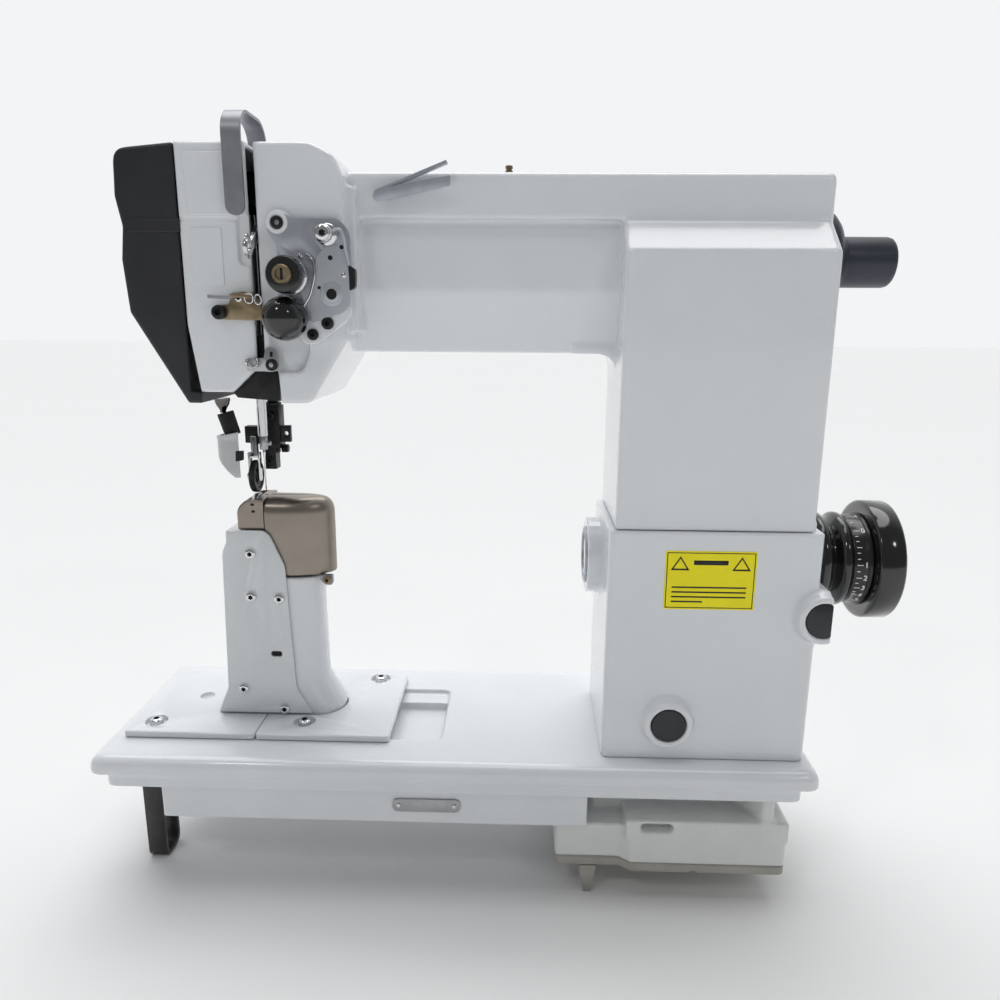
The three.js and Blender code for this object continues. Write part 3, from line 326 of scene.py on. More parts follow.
def wire(name, points, radius, material, body=FIXED, closed=False, stands_for=None):
    curve = bpy.data.curves.new(name, "CURVE")
    curve.dimensions = "3D"
    curve.bevel_depth = radius * MM
    curve.bevel_resolution = 5
    curve.use_fill_caps = True
    curve.resolution_u = 10
    spline = curve.splines.new("BEZIER")
    spline.bezier_points.add(len(points) - 1)
    for knot, point in zip(spline.bezier_points, points):
        knot.co = place(*point)
        knot.handle_left_type = knot.handle_right_type = "AUTO"
    spline.use_cyclic_u = closed
    curve.materials.append(material)
    thing = bpy.data.objects.new(name, curve)
    bpy.context.scene.collection.objects.link(thing)
    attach(thing, body)
    if stands_for:
        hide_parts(stands_for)


def star(angle):
    return 1 + 0.16 * math.cos(6 * angle)


def hexagon(angle):
    return 1 / max(abs(math.cos(angle + k * math.pi / 3)) for k in range(3)) * 0.95


def screw(name, at, radius, height, material, body=FIXED, axis="y", toward=-1, recess=star):
    """Screw head with its recess; it stands on point at and faces toward along the axis."""
    profile = [(-0.1, 1), (0.45, 1), (0.75, 0.93), (0.93, 0.76), (1.0, 0.56)]
    rings = [ring(Vector(at), axis, toward * height * h, radius * r, 72) for h, r in profile]
    for h, r in ((1.0, 0.44), (0.94, 0.42), (0.3, 0.4), (0.22, 0.02)):
        rings.append(ring(Vector(at), axis, toward * height * h, radius * r, 72, recess))
    head = piece(name, lofted(rings), material, body, None, 0.0, 30)
    # The recess floor takes the near-black painted shade, standing in for the shadow inside the recess.
    head.data.materials.append(painted_hole_shade)
    run, centre = AXES[axis][0], place(*at)
    for polygon in head.data.polygons:
        away = polygon.center - centre
        if (away - run * away.dot(run)).length < 0.43 * radius * MM:
            polygon.material_index = 1
    return head


def cast_skin(node, material, voxel, passes, share):
    """The node's solid with the soft edges of a casting: remeshed, smoothed and thinned out.

    voxel is the remesh's cell in millimetres, and share the part of its faces that is kept."""
    rough = bpy.data.objects.new(node + "_rough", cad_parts[node].data.copy())
    bpy.context.scene.collection.objects.link(rough)
    weld = rough.modifiers.new("weld", "WELD")
    weld.merge_threshold = 0.00001
    remesh = rough.modifiers.new("skin", "REMESH")
    remesh.mode = "VOXEL"
    remesh.voxel_size = voxel * MM
    soften = rough.modifiers.new("soften", "SMOOTH")
    soften.factor = 0.5
    soften.iterations = passes
    thin = rough.modifiers.new("thin", "DECIMATE")
    thin.ratio = share
    bpy.context.view_layer.update()
    mesh = bpy.data.meshes.new_from_object(rough.evaluated_get(bpy.context.evaluated_depsgraph_get()))
    bpy.data.objects.remove(rough)
    piece(node + "_skin", mesh, material, FIXED, node, sharp=60)


def keep(node, material, edge):
    """Shows a CAD node as it is, with a finish and slightly rounded edges."""
    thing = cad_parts[node]
    thing.data.materials.clear()
    thing.data.materials.append(material)
    for polygon in thing.data.polygons:
        polygon.use_smooth = True
        polygon.material_index = 0
    weld = thing.modifiers.new("weld", "WELD")
    weld.merge_threshold = 0.00001
    if edge > 0:
        bevel = thing.modifiers.new("edges", "BEVEL")
        bevel.width = edge * MM
        bevel.segments = 2
        bevel.limit_method = "ANGLE"
        bevel.angle_limit = math.radians(40)
        bevel.harden_normals = True
    thing.data.set_sharp_from_angle(angle=math.radians(40))


# ---- castings ----
cast_skin("arm_casting", enamel, 1.3, 7, 0.22)
cast_skin("riser_casting", enamel, 1.2, 6, 0.22)
cast_skin("bed_casting", enamel_bed, 1.2, 7, 0.2)
cast_skin("gearbox_casting", enamel_rough, 1.3, 7, 0.25)
cast_skin("post_casting", enamel, 1.0, 16, 0.35)
cast_skin("face_cover", enamel, 0.8, 4, 0.25)
cast_skin("end_cap", black_cap, 0.8, 5, 0.25)
cast_skin("needle_plate", nickel, 0.45, 6, 0.5)

# ---- CAD pieces shown as they are ----
KEPT = {
    "slide_plate_left": (enamel_bed, 0.6), "slide_plate_right": (enamel_bed, 0.6),
    "name_plate": (alloy, 0.3),
    "gearbox_cover": (iron, 0.5), "rest_leg_front": (iron, 0.6), "rest_leg_rear": (iron, 0.6),
    "strap_foot": (black_paint, 0.6), "side_plug": (black_cap, 0.5), "arm_thread_guide": (zinc, 0.25),
    "take_up_lever": (polished, 0.4), "bar_frame": (black_metal, 0.8), "needle_clamp": (steel, 0.2),
    "needle": (chrome, 0), "presser_bracket": (black_metal, 0.5), "roller_fork": (polished, 0.35),
    "guard_sleeve": (rubber, 0.5), "tension_plate": (zinc, 0.3), "thread_bracket": (brass, 0.3),
    "lower_bracket": (steel, 0.3), "post_cover": (enamel_sheet, 0.4), "hook": (steel, 0.2),
    "bobbin_case": (chrome, 0.2), "bobbin": (alloy, 0.2), "hook_shaft": (steel, 0.2),
    "bed_shaft": (steel, 0.2),
    "main_shaft": (steel, 0.3), "upper_shaft": (steel, 0.3), "timing_belt": (rubber, 0.3),
    "bed_belt": (rubber, 0.3), "feed_wheel": (steel, 0.2),
}
for node_name, (node_finish, node_edge) in KEPT.items():
    keep(node_name, node_finish, node_edge)


# ---- bed ----
def bed_details():
    for number in (1, 2, 3):
        node = f"plate_screw_{number}"
        low, high = span(node)
        centre, radius = middle(node), (high.x - low.x) / 2
        seat = (centre.x, centre.y, high.z - 4.4)
        head = screw(node + "_head", seat, radius, 4.2, chrome, axis="z", toward=1, recess=hexagon)
        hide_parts(node)
    plate_top = span("slide_plate_left")[1].z
    plug = [(-0.6, 5.6), (0.15, 5.6), (0.35, 5.2), (0.35, 0)]
    turned("plate_plug", "z", (54.3, 87.7, plate_top), plug, alloy)
    low, high = span("name_plate")
    for side, x in (("left", low.x + 4.6), ("right", high.x - 4.6)):
        turned(f"name_plate_rivet_{side}", "y", (x, low.y, (low.z + high.z) / 2),
               [(0.3, 1.9), (-0.2, 1.9), (-0.8, 1.4), (-1.05, 0)], polished, sides=40)


bed_details()


# ---- riser ----
def riser_details():
    low, high = span("front_plug")
    centre, radius = middle("front_plug"), (high.x - low.x) / 2
    turned("front_plug_cap", "y", (centre.x, low.y, centre.z),
           [(8, radius), (0.8, radius), (0, radius - 0.9), (0.3, radius - 2.2), (0.1, 0)], black_cap,
           stands_for="front_plug", edge=0.15)
    low, high = span("shaft_end_cap")
    centre, radius = middle("shaft_end_cap"), (high.y - low.y) / 2
    turned("sight_ring", "x", (low.x, centre.y, centre.z),
           [(4.6, radius), (0.7, radius), (0, radius - 0.8), (0, radius - 3.2), (1.2, radius - 3.9),
            (4.6, radius - 3.9)], zinc, stands_for="shaft_end_cap", hollow=True)
    turned("sight_glass_disc", "x", (low.x, centre.y, centre.z),
           [(4.5, radius - 4), (1.5, radius - 4), (0.8, radius * 0.5), (0.6, 0)], glass_dark)


riser_details()


def label_plate():
    """Generic yellow plate with a plain frame, two triangles and bars in place of any words."""
    face = 17.0  # the riser's flat front, behind its bosses
    left, right, bottom, top = 404.0, 465.0, 113.6, 154.8
    prism("label_plate", rectangle(left, right, bottom, top, 1.2), face - 0.4, face + 0.3, yellow, edge=0.1)
    shapes = []
    inset, line = 1.0, 0.6
    for x0, x1, z0, z1 in (
            (left + inset, right - inset, bottom + inset, bottom + inset + line),
            (left + inset, right - inset, top - inset - line, top - inset),
            (left + inset, left + inset + line, bottom + inset, top - inset),
            (right - inset - line, right - inset, bottom + inset, top - inset)):
        shapes.append([(x0, z0), (x1, z0), (x1, z1), (x0, z1)])
    for row in range(4):
        z = bottom + 5 + row * 3.4
        end = right - 6 if row else left + 26
        shapes.append([(left + 5, z), (end, z), (end, z + 1.1), (left + 5, z + 1.1)])
    x0, x1, z0, z1 = left + 19, right - 19, top - 9.6, top - 6.4
    shapes.append([(x0, z0), (x1, z0), (x1, z1), (x0, z1)])
    for x in (left + 10, right - 10):
        apex, base, half = top - 3.6, top - 13.4, 6.2
        foot_left, peak, foot_right = (x - half, base), (x, apex), (x + half, base)
        for a, b in ((foot_left, peak), (peak, foot_right), (foot_right, foot_left)):
            inner = [(x + (p[0] - x) * 0.72, base + 1.1 + (p[1] - base) * 0.72) for p in (a, b)]
            shapes.append([a, b, inner[1], inner[0]])
    points, faces = [], []
    for shape in shapes:
        first = len(points)
        points += [(x, face - 0.45, z) for x, z in shape]
        faces.append(tuple(range(first, first + 4)))
    mesh = bpy.data.meshes.new("print")
    mesh.from_pydata([place(*p) for p in points], [], faces)
    print_piece = piece("label_print", mesh, ink)
    thick = print_piece.modifiers.new("thick", "SOLIDIFY")
    thick.thickness = 0.1 * MM


label_plate()


# ---- head ----
def head_panels():
    """Raised panels and ribs of the head's covers."""
    front = span("face_cover")[0].y
    prism("face_panel_upper", [(97, 366.5, 1), (134, 366.5, 1), (134, 404, 3), (95.5, 404, 3)],
          front - 1.0, front + 1, enamel, edge=0.8)
    prism("face_panel_lower", [(97, 324.5, 1), (117, 324.5, 1.5), (117, 359.5, 1.5), (97, 359.5, 1)],
          front - 0.7, front + 1, enamel, edge=0.5)
    low = span("end_cap")[0]
    prism("cap_rib", [(low.x + 8, 356.6, 1), (91, 356.6, 1), (90.6, 364.6, 1), (low.x + 7, 364.6, 1)],
          low.y - 0.9, low.y + 2, black_cap, edge=0.8)


head_panels()


def guard_strip():
    """Bent strip over the take-up lever, with its round lower end and rolled edges."""
    low, high = span("take_up_guard")
    front, back, top = low.y + 1.1, high.y - 1.1, high.z - 1.1
    bend = 15
    half = (high.x - low.x) / 2 + 0.3
    path = [(front, low.z + half * (1 - math.cos(math.pi / 2 * k / 8))) for k in range(9)]
    path += [(front, z) for z in (376, 384, 392, 400, 408)]
    quarter = [math.pi / 2 * k / 10 for k in range(11)]
    path += [(front + bend - bend * math.cos(a), top - bend + bend * math.sin(a)) for a in quarter]
    path += [(back - bend + bend * math.sin(a), top - bend + bend * math.cos(a)) for a in quarter]
    back_top, back_bottom = high.z - 17, low.z + 44.5
    path += [(back, back_top - k * (back_top - back_bottom) / 3) for k in (1, 2, 3)]
    centre = (low.x + high.x) / 2
    columns = 12
    points = []
    for y, z in path:
        rise = z - path[0][1]
        reach = half
        if y <= front + 1 and rise < half:
            reach = math.sqrt(max(half**2 - (half - rise) ** 2, 0.2))
        for i in range(columns + 1):
            points.append((centre + (i / columns * 2 - 1) * reach, y, z))
    mesh = mesh_of(points, grid_faces(len(path), columns + 1))
    strip = piece("guard_strip", mesh, zinc_dark, stands_for="take_up_guard", sharp=70)
    thicken(strip, 2.0, 0, 0.6, 3)


guard_strip()
EYELET = [(11, 341), (6.4, 344.5), (5.6, 350), (9, 354.5), (13, 352), (14, 346)]
wire("take_up_eyelet", [(136.7, y, z) for y, z in EYELET], 0.9, polished, "take_up", closed=True)


def tension_parts():
    low, high = span("tension_nut")
    centre = middle("tension_nut")
    radius = (high.x - low.x) / 2

    def ridges(angle):
        return 1 + 0.025 * math.cos(44 * angle)

    grip = ((high.y, 0.78, None), (high.y, 0.93, None), (high.y - 1, 1, ridges),
            (low.y + 5.4, 1, ridges), (low.y + 4.2, 0.93, None), (low.y + 4.0, 0.72, None))
    rings = [ring(Vector((centre.x, 0, centre.z)), "y", along, radius * share, 176, wave)
             for along, share, wave in grip]
    piece("nut_grip", lofted(rings), black_gloss, "tension_nut", "tension_nut")
    turned("nut_core", "y", (centre.x, low.y, centre.z),
           [(5, 5.8), (0.9, 5.8), (0.1, 5.2), (0.1, 3.6), (1.6, 3.4), (1.6, 0)], brass, "tension_nut",
           sides=64)
    # A thin near-black plate in the nut's slot: painted shade of the slot.
    prism("nut_slot_shade", rectangle(centre.x - 0.8, centre.x + 0.8, centre.z - 3.3, centre.z + 3.3, 0.3),
          low.y + 1.4, low.y + 1.9, painted_hole_shade, "tension_nut", edge=0)
    low, high = span("tension_discs")
    discs = [(high.y, 3), (14.8, 3), (14.4, 7.6), (13.2, 8), (12.0, 11.3), (11.5, 11.4), (10.9, 7),
             (10.3, 7), (9.8, 11.4), (9.3, 11.3), (8.0, 8.2), (6.4, 3), (low.y, 3)]
    turned("disc_pair", "y", (centre.x, 0, centre.z), discs, polished, stands_for="tension_discs")
    low, high = span("dome_knob")
    centre = middle("dome_knob")
    radius = (high.x - low.x) / 2
    rim = 9.2
    dome = [(high.y, 3), (11.2, 3), (11.2, radius - 0.8), (10.4, radius), (rim, radius)]
    for k in range(1, 14):
        angle = math.pi / 2 * k / 14
        dome.append((rim - (rim - low.y) * math.sin(angle), radius * math.cos(angle) ** 0.9))
    dome.append((low.y, 0))
    turned("knob_dome", "y", (centre.x, 0, centre.z), dome, black_gloss, "knob", "dome_knob")
    stud_low = span("guide_stud")[0]
    stud = middle("guide_stud")
    turned("stud_head", "y", (stud.x, 0, stud.z),
           [(21, 2), (15, 2.2), (15, 6.6), (13.6, 6.8), (12.8, 6.2), (12.2, 4), (9.4, 3.3), (8, 5.2),
            (6, 5.8), (stud_low.y + 1.4, 5.4), (stud_low.y + 0.6, 4.6), (stud_low.y + 0.6, 0)], chrome,
           stands_for="guide_stud")
    screw("stud_screw", (stud.x, stud_low.y + 0.9, stud.z), 4.4, 1.6, chrome)
    plate_front = span("tension_plate")[0].y
    step_front = plate_front - 1.3
    step = [(178, 342.5, 1), (182.5, 347.4, 2), (190.9, 349, 1), (194.6, 351, 2), (197, 338, 1),
            (198.1, 325, 1), (198.1, 314, 5), (193.6, 308.4, 3), (184.5, 305.6, 3), (172, 301.4, 2),
            (173.6, 325.2, 1), (175.9, 335.3, 1)]
    prism("plate_step", step, step_front, plate_front + 0.2, zinc_light, edge=0.25)
    turned("plate_bushing", "y", (186.3, step_front, 319.5),
           [(0.4, 7.4), (-0.2, 7.2), (-0.4, 6.4), (-0.3, 5.2), (-0.45, 4.4), (-0.6, 4), (-0.6, 3.4),
            (0.2, 3.1), (0.4, 3.1)], zinc_light, hollow=True)
    # A near-black disc in the bushing's bore: painted shade of the hole.
    turned("bushing_bore_shade", "y", (186.3, step_front, 319.5), [(0.3, 3.2), (-0.25, 3.2), (-0.25, 0)], painted_hole_shade)
    turned("lobe_boss", "y", (153.6, plate_front, 362.2),
           [(4.4, 8.6), (1, 7.4), (0.1, 6.9), (-0.4, 6.2), (-0.4, 4.5), (2, 4.3), (2, 0)], enamel)
    screw("lobe_screw", (153.6, plate_front + 1.6, 362.2), 4.1, 2.6, black_metal, recess=hexagon)
    block = [(163.5, 301, 1), (166, 288.6, 4), (176, 288.6, 4), (184, 294.5, 4), (192, 300.5, 4),
             (198, 306, 3), (198, 313, 2), (176, 305, 1)]
    prism("lower_block", block, plate_front + 0.5, 19.6, enamel, edge=1.2)
    screw("lower_screw_right", (182.7, plate_front + 0.6, 301.6), 3.9, 3, black_metal, recess=hexagon)
    screw("lower_screw_left", (173, plate_front + 0.6, 294.6), 3.6, 3, black_metal, recess=hexagon)
    prism("side_stop", [(197.6, 321.6, 1), (201.2, 323.5, 1.5), (201.6, 334.5, 1.5), (197.6, 337, 1)],
          plate_front - 1.6, 19.5, black_metal, edge=0.4)
    wire("side_hook", [(188, 10.4, 356.4), (193.4, 10.6, 357.6), (195.6, 10.8, 354), (196.6, 11.6, 346),
                       (198.2, 12.6, 337)], 0.95, zinc_light)
    for number, (x, z) in enumerate([(167.4, 342.6), (194.5, 330.9)], 1):
        pin = [(1.6, 1.6), (-0.5, 1.5), (-0.9, 0.9), (-0.9, 0)]
        turned(f"plate_pin_{number}", "y", (x, step_front, z), pin, polished, sides=32)
    # Near-black discs on the step: painted shade of the plate's holes.
    for number, (x, z, r) in enumerate([(186.3, 341.3, 1.5), (193.6, 347.6, 1.3), (178.6, 323.4, 1.1)], 1):
        hole = [(0.3, r), (-0.06, r), (-0.06, 0)]
        turned(f"plate_hole_shade_{number}", "y", (x, step_front, z), hole, painted_hole_shade, sides=32)
    wire("check_wire", [(158, 12.4, 307), (164.5, 12.4, 308.6), (170.6, 12.4, 314.6), (174.8, 12.4, 324),
                        (176.3, 12.4, 334), (174.6, 12.4, 341), (171.4, 12.4, 343.4)], 0.7, polished,
         "check_spring", stands_for="check_spring")


tension_parts()


def thread_details():
    front = span("thread_bracket")[0].y
    screw("bracket_screw", (113.4, front + 5.4, 308), 4.6, 4, black_metal, recess=hexagon)
    pin = [(108.4, 12.6, 317.6), (113, 12.6, 317.4), (119, 12.8, 317.3), (124, 13.2, 317.2)]
    wire("bracket_pin", pin, 1.2, zinc_dark)
    wire("bracket_eye_left", [(131.5, 13, 316), (133.6, 12, 319.4), (136.4, 12, 318.6), (136.6, 13, 315.4),
                              (134, 13.6, 313.6)], 0.55, polished, closed=True)
    wire("bracket_eye_right", [(137.4, 14, 316.4), (139.4, 13, 318.8), (141.6, 13, 317.2), (141.2, 14, 313.8),
                               (138.6, 14.4, 313.2)], 0.55, polished, closed=True)
    screw("bracket_top_screw", (126.4, front + 5.6, 316.6), 2.4, 1.8, polished)
    front = span("lower_bracket")[0].y
    screw("lower_bracket_screw", (144.9, front + 2.2, 275.2), 3.9, 2.8, black_metal, recess=hexagon)
    # A near-black rod along the bracket's slot: painted shade of the slot.
    wire("lower_bracket_slot_shade", [(144.6, front + 2.1, 280.4), (144.9, front + 2.1, 283.6)], 0.9, painted_hole_shade)
    wire("lower_bracket_loop", [(129.4, 17, 278.4), (130, 15, 274.6), (133.4, 15, 273.6), (136.2, 15, 276),
                                (135.2, 17, 279)], 0.7, polished)
    low, high = span("oil_peg")
    peg, tall = middle("oil_peg"), high.z - low.z
    turned("peg_body", "z", (peg.x, peg.y, low.z),
           [(0, 2.6), (2.2, 2.6), (2.6, 2.0), (3.4, 2.0), (3.8, 2.5), (tall - 0.4, 2.4), (tall, 1.6),
            (tall, 0)], brass, stands_for="oil_peg", sides=48)


thread_details()


# ---- needle and presser ----
def sewing_end():
    low, high = span("needle_bar")
    bar = middle("needle_bar")
    rod = [(low.z, 3.0), (low.z + 0.6, 3.6), (high.z, 3.6), (high.z, 0)]
    turned("needle_bar_rod", "z", (bar.x, bar.y, 0), rod, polished, "needle_bar", "needle_bar", sides=48)
    low, high = span("presser_bar")
    bar = middle("presser_bar")
    rod = [(low.z, 3.6), (low.z + 0.6, 4), (high.z, 4), (high.z, 0)]
    turned("presser_bar_rod", "z", (bar.x, bar.y, 0), rod, black_metal, "presser", "presser_bar", sides=48)
    low, high = span("presser_roller")
    wheel = middle("presser_roller")
    radius, half = (high.z - low.z) / 2, (high.x - low.x) / 2

    def ridges(angle):
        return 1 + 0.012 * math.cos(60 * angle)

    side = ((1, 0.17), (1, 0.42), (0.6, 0.5), (0.6, 0.74), (1, 0.8), (1, 0.93))
    profile = [(-along, share, None) for along, share in side]
    profile += [(-0.75, 0.99, ridges), (0.75, 0.99, ridges)]
    profile += [(along, share, None) for along, share in reversed(side)]
    rings = [ring(Vector((0, wheel.y, wheel.z)), "x", wheel.x + along * half, radius * share, 240, wave)
             for along, share, wave in profile]
    piece("roller_wheel", lofted(rings, True), black_metal, "roller", "presser_roller", sharp=30)
    fork = span("roller_fork")
    screw("axle_screw", (fork[0].x, wheel.y, wheel.z), 3.2, 1.6, polished, "presser", axis="x")
    bracket = span("presser_bracket")
    screw("bracket_clamp_screw", (117.5, bracket[0].y, 233), 3.2, 2.6, black_metal, "presser", recess=hexagon)
    screw("bracket_foot_screw", (115, 94, 199), 2.8, 2.2, black_metal, "presser", recess=hexagon)
    turned("lift_spring_collar", "z", (117.5, 100, 240),
           [(0.2, 4.4), (0.2, 6.4), (2, 6.4), (2.6, 5.8), (2.6, 4.4)], black_metal, "presser", hollow=True)
    nut = [(0, 0), (0, 3.4), (4.6, 3.4), (5.2, 2.6), (5.2, 0)]
    turned("stop_nut", "x", (bracket[1].x - 7.4, 99, 207.4), nut, black_metal, "presser", sides=6, edge=0.3)


sewing_end()


def finger_guard():
    """Sheet bent round the left of the roller, with its rolled top edge, and the rod that holds it."""
    low, high = span("finger_guard")
    radius = 12.2
    centre_x, centre_y = low.x + radius, low.y + radius
    rows, columns = 14, 40
    start, end = math.radians(150), math.radians(298)
    points = []
    for row in range(rows + 1):
        t = row / rows
        for i in range(columns + 1):
            angle = start + (end - start) * i / columns
            x = centre_x + radius * math.cos(angle)
            reach = max(0.0, min(1.0, (x - low.x) / (high.x - low.x)))
            top = 220.5 + 4.6 * reach
            bottom = 208 - 16.5 * min(1.0, reach * 1.25) ** 0.8
            flare = 0.9 * max(0.0, 1 - t * 9)
            z = top + (bottom - top) * t
            r = radius + flare
            points.append((centre_x + r * math.cos(angle), centre_y + r * math.sin(angle), z))
    mesh = mesh_of(points, grid_faces(rows + 1, columns + 1))
    sheet = piece("guard_sheet", mesh, steel, stands_for="finger_guard", sharp=80)
    thicken(sheet, 1.1, 0, 0.3, 2)
    prism("guard_clip", [(100.6, 203.4, 0.6), (106.2, 204.6, 0.6), (106.6, 211.4, 0.6), (101, 211, 0.6)],
          centre_y - 12.9, centre_y - 10.6, black_metal, edge=0.4)
    foot, centre = span("guard_rod")[0].z, middle("guard_rod")
    turned("guard_rod_cone", "z", (centre.x, centre.y, foot),
           [(-0.4, 2.0), (1.4, 2.3), (3.2, 3.2), (5.4, 4.6), (8, 5.4), (9.9, 5.6), (9.9, 0)], dark_polished,
           stands_for="guard_rod", sides=64)


finger_guard()


# ---- post ----
def post_details():
    front = span("post_cover")[0].y
    screws = [(107.4, 135), (106, 101.4), (127.1, 100.2), (95.7, 26.8), (126.4, 10.6)]
    for number, (x, z) in enumerate(screws, 1):
        screw(f"post_screw_{number}", (x, front, z), 3.9, 2.3, chrome)
    # A near-black plate inside the cover's slot: painted shade of the slot.
    prism("cover_slot_shade", rectangle(118.4, 126.4, 53.5, 57.9, 2.2), front + 1.6, front + 2.3, painted_hole_shade, edge=0)


post_details()


def hook_cover_shell():
    """Drawn cover of the hook: open at its left and bottom, with a crowned roof."""
    low, high = span("hook_cover")
    left, right, front, back, bottom, top = low.x, high.x, low.y, high.y, low.z, high.z
    profile = [(0.7, bottom), (0.1, bottom + 0.8), (0, bottom + 2), (0, 130), (0, 145), (0, top - 12),
               (0.2, top - 9.6), (0.8, top - 7), (1.9, top - 4.8), (3.4, top - 3), (5.4, top - 1.7),
               (8, top - 0.8), (11.6, top - 0.25), (17.4, top)]
    bend, reach = 48, 34
    centre_x, centre_y = right - reach, (front + back) / 2
    straight = [left + (centre_x - left) * k / 8 for k in range(8)]
    half_turn = [math.pi * k / bend for k in range(bend + 1)]
    rows = []
    for inset, z in profile:
        depth, length = (back - front) / 2 - inset, reach - inset
        row = [(x, centre_y - depth, z) for x in straight]
        row += [(centre_x + length * math.sin(a), centre_y - depth * math.cos(a), z) for a in half_turn]
        row += [(x, centre_y + depth, z) for x in reversed(straight)]
        rows.append(row)
    mesh = mesh_of([p for row in rows for p in row], grid_faces(len(rows), len(rows[0])))
    shell = piece("hook_cover_shell", mesh, nickel, "hook_cover", "hook_cover", sharp=80)
    thicken(shell, 1.6, -1, 0.3, 2)
    lug = [(156.5, 117, 1), (156.5, 113, 1), (161, 109, 2), (166, 109.5, 2), (166, 117, 1)]
    prism("cover_lug", lug, 66, 70, zinc_dark, "hook_cover", edge=0.4)
    screw("cover_screw", (162, 66, 113.4), 3.1, 2.2, brass, "hook_cover")
    plate_front = span("needle_plate")[0].y
    # Near-black blocks on the needle plate: painted shade of its notches.
    for number, (x, z) in enumerate([(110.4, 166.2), (110, 171.4)], 1):
        notch = rectangle(x - 1.3, x + 1.3, z - 0.9, z + 0.9, 0.2)
        prism(f"plate_notch_shade_{number}", notch, plate_front - 0.05, plate_front + 1.4, painted_hole_shade, edge=0)


hook_cover_shell()


# ---- right side ----
def right_side():
    start, centre = span("end_cover")[0].x, middle("end_cover")
    turned("end_cover_body", "x", (start, centre.y, centre.z),
           [(0, 13.6), (0, 33.4), (0.6, 34), (6.4, 33.6), (8.6, 32.4), (12, 28.6), (14.6, 23), (16.2, 18.6),
            (18, 17.2), (20, 16.9), (49, 16.8), (51.4, 16.2), (52.6, 15), (52.7, 13.8), (51.6, 13.1), (6, 13),
            (6, 0.001), (5, 0.001)], blue_black, stands_for="end_cover", sides=112)
    axle = middle("handwheel")
    low, high = span("handwheel")
    radius, x0, x1 = (high.z - low.z) / 2, low.x, high.x
    wheel = [(x0, 8), (x0, radius - 5), (x0 + 0.2, radius - 2.2), (x0 + 0.8, radius - 0.7),
             (x0 + 1.8, radius), (x0 + 16.6, radius), (x0 + 17.8, radius - 0.5), (x0 + 18.8, radius - 1.8),
             (x0 + 19.2, radius - 4), (x0 + 19, radius - 12), (x0 + 18, radius - 15), (x0 + 16, radius - 17),
             (x0 + 16, 14.6), (x0 + 17, 13.2), (x0 + 19, 12.7), (x1 - 1.6, 11.8), (x1 - 0.4, 11),
             (x1, 9.6), (x1, 8)]
    turned("handwheel_body", "x", (0, axle.y, axle.z), wheel, black_gloss, "drive", "handwheel", sides=128,
           hollow=True)
    screw("handwheel_screw", (x1 - 1.4, axle.y, axle.z), 8.2, 1.3, black_metal, "drive", axis="x", toward=1,
          recess=hexagon)
    low, high = span("belt_pulley")
    x0, x1 = low.x, high.x
    pulley = [(x0, 8), (x0, 23), (x0 + 0.8, 28), (x0 + 2.2, 32.4), (x0 + 3.6, 34.2), (x0 + 5.2, 34.5),
              (x0 + 8, 34), (x0 + 9.6, 32.4), (x0 + 12.2, 27.6), (x0 + 13.4, 26.9), (x0 + 14.6, 27.6),
              (x1 - 6.8, 32.6), (x1 - 5.2, 34.2), (x1 - 3.2, 34.6), (x1 - 1.2, 34.2), (x1, 33), (x1, 8)]
    turned("pulley_body", "x", (0, axle.y, axle.z), pulley, black_gloss, "drive", "belt_pulley", sides=128,
           hollow=True)
    low, high = span("stitch_dial")
    x0, x1 = low.x, high.x
    dial = [(x0, 8), (x0, 31.4), (x0 + 0.4, 32), (x0 + 1, 32.4), (x1 - 3, 33), (x1 - 2.4, 33.8),
            (x1 - 0.5, 34), (x1, 33.6), (x1, 8)]
    turned("dial_body", "x", (0, axle.y, axle.z), dial, black_satin, "dial", "stitch_dial", sides=128,
           hollow=True)
    dial_marks(x0, axle)


def dial_marks(start, axle):
    """Numbers and ticks wrapped round the stitch length dial."""
    mean_radius, left_radius, widening = 32.75, 32.34, 0.065  # the dial widens toward the handwheel
    points, faces = [], []

    def wrap(u, v, turn, lift):
        angle = turn + v / mean_radius
        r = left_radius + widening * u + lift
        return (start + u, axle.y - r * math.cos(angle), axle.z + r * math.sin(angle))

    def add(flat, polygons, turn):
        first, count = len(points), len(flat)
        for lift in (-0.3, 0.12):
            points.extend(wrap(u, v, turn, lift) for u, v in flat)
        for polygon in polygons:
            faces.append(tuple(first + i for i in polygon))
            faces.append(tuple(first + count + i for i in reversed(polygon)))

    def tick(length, degrees):
        near, far, half = 2.4, 2.4 + length, 0.27
        add([(near, -half), (far, -half), (far, half), (near, half)], [(0, 1, 2, 3)], math.radians(degrees))

    for text, degrees in (("-1", 83), ("0", 53), ("1", 8), ("2", -8.5), ("3", -23), ("4", -36), ("5", -48)):
        label = bpy.data.curves.new("digit", "FONT")
        label.body = text
        label.size = 5.4
        label.offset = 0.12
        label.align_x = label.align_y = "CENTER"
        holder = bpy.data.objects.new("digit_holder", label)
        bpy.context.scene.collection.objects.link(holder)
        bpy.context.view_layer.update()
        digit = bpy.data.meshes.new_from_object(holder)
        add([(8.6 + v.co.x, v.co.y) for v in digit.vertices], [tuple(p.vertices) for p in digit.polygons],
            math.radians(degrees))
        bpy.data.objects.remove(holder)
        tick(4.0, degrees)
    tick(3.4, 30)
    for degrees in (68, 38, 45, 23, 15.5, 0, -15.8, -29.5, -33, -39, -42, -45, -51, -54, -57, -60):
        tick(2.2, degrees)
    mesh = bpy.data.meshes.new("marks")
    mesh.from_pydata([place(*p) for p in points], [], faces)
    piece("dial_marks", mesh, dial_white, "dial", sharp=20)


right_side()


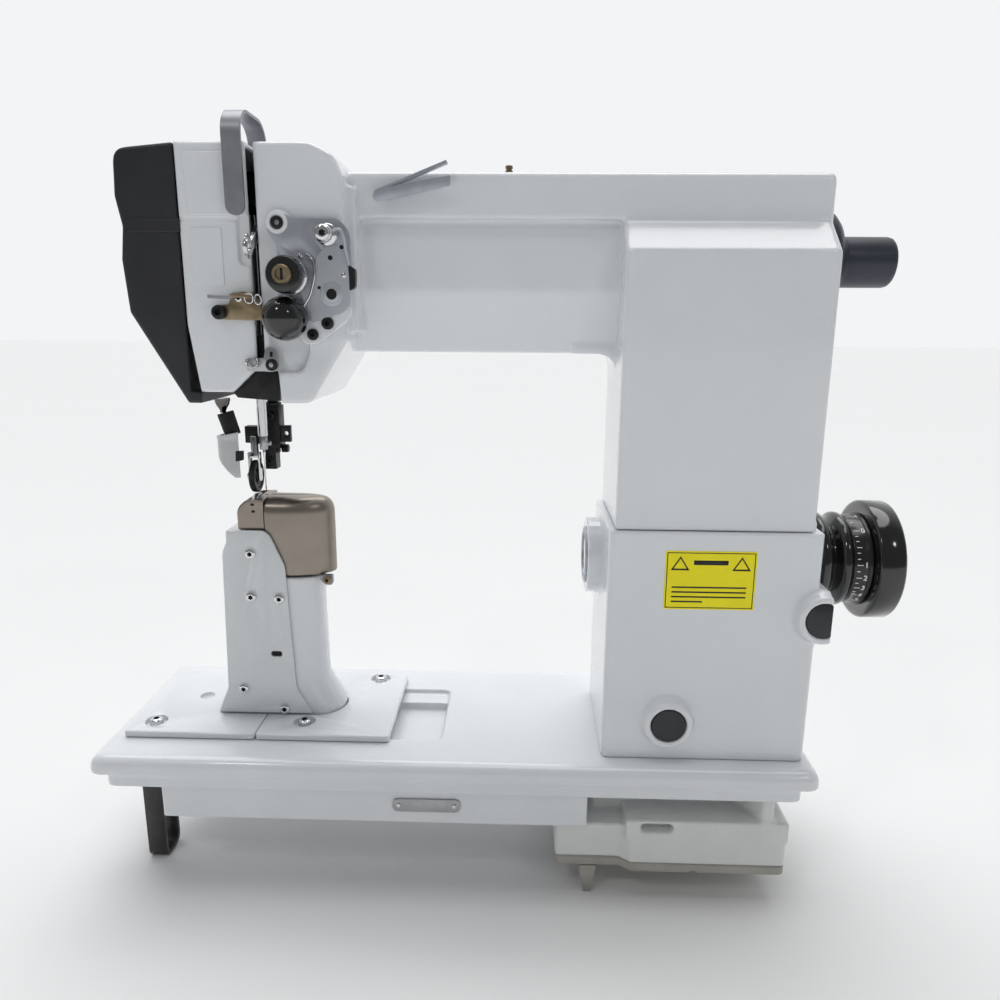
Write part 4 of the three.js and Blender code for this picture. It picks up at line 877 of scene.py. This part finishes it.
# ---- floor, lights and camera ----
def studio():
    floor_mesh = bpy.data.meshes.new("floor")
    reach = 12  # metres each way
    corners = [(-reach, -reach), (reach, -reach), (reach, reach), (-reach, reach)]
    floor_mesh.from_pydata([(x, y, FLOOR_Z) for x, y in corners], [], [(0, 1, 2, 3)])
    floor = bpy.data.objects.new("floor", floor_mesh)
    bpy.context.scene.collection.objects.link(floor)
    pale = finish("pale_floor", (0.84, 0.84, 0.84), 0.8, mottle=(2, 0.004), grain=(30, 0.00002))
    floor_mesh.materials.append(pale)

    world = bpy.data.worlds.new("studio")
    world.use_nodes = True
    nodes, links = world.node_tree.nodes, world.node_tree.links
    sky = nodes["Background"]
    sky.inputs["Color"].default_value = (0.97, 0.985, 1, 1)
    facing = nodes.new("ShaderNodeTexCoord")
    parts = nodes.new("ShaderNodeSeparateXYZ")
    links.new(facing.outputs["Generated"], parts.inputs["Vector"])
    bright = nodes.new("ShaderNodeMapRange")  # dim in front of the machine, a bright wall behind it
    bright.inputs["From Min"].default_value = -0.2
    bright.inputs["From Max"].default_value = 0.6
    bright.inputs["To Min"].default_value = 0.22
    bright.inputs["To Max"].default_value = 0.92
    links.new(parts.outputs["Y"], bright.inputs["Value"])
    links.new(bright.outputs["Result"], sky.inputs["Strength"])
    bpy.context.scene.world = world

    target = Vector((0, 0, 0.25))
    glints = (("glint_left", (-0.9, -1.3, 1.9), 3.0), ("glint_right", (1.1, -1.5, 1.7), 2.0))
    for name, where, power in glints:
        light = bpy.data.lights.new(name, "AREA")
        light.shape = "DISK"
        light.size = 0.22
        light.energy = power
        lamp = bpy.data.objects.new(name, light)
        lamp.location = where
        lamp.rotation_euler = (target - Vector(where)).to_track_quat("-Z", "Y").to_euler()
        bpy.context.scene.collection.objects.link(lamp)
    ceiling = bpy.data.lights.new("ceiling", "SUN")
    ceiling.energy = 1.75
    ceiling.angle = math.radians(55)
    lamp = bpy.data.objects.new("ceiling", ceiling)
    lamp.rotation_euler = Vector((0.05, -0.25, -1)).to_track_quat("-Z", "Y").to_euler()
    bpy.context.scene.collection.objects.link(lamp)
    bpy.context.scene.view_settings.view_transform = "Standard"


def photo_camera():
    pitch, yaw, roll = 0.2283, 0.0288, 0.0073  # radians
    data = bpy.data.cameras.new("camera")
    data.sensor_width = 36
    data.lens = 28.33
    camera = bpy.data.objects.new("camera", data)
    tilt = Matrix.Rotation(math.pi / 2 - pitch, 4, "X")
    turn = Matrix.Rotation(yaw, 4, "Z") @ tilt @ Matrix.Rotation(roll, 4, "Z")
    camera.matrix_world = Matrix.Translation(place(307.2, -491.5, 306.2)) @ turn
    bpy.context.scene.collection.objects.link(camera)
    bpy.context.scene.camera = camera


studio()
photo_camera()
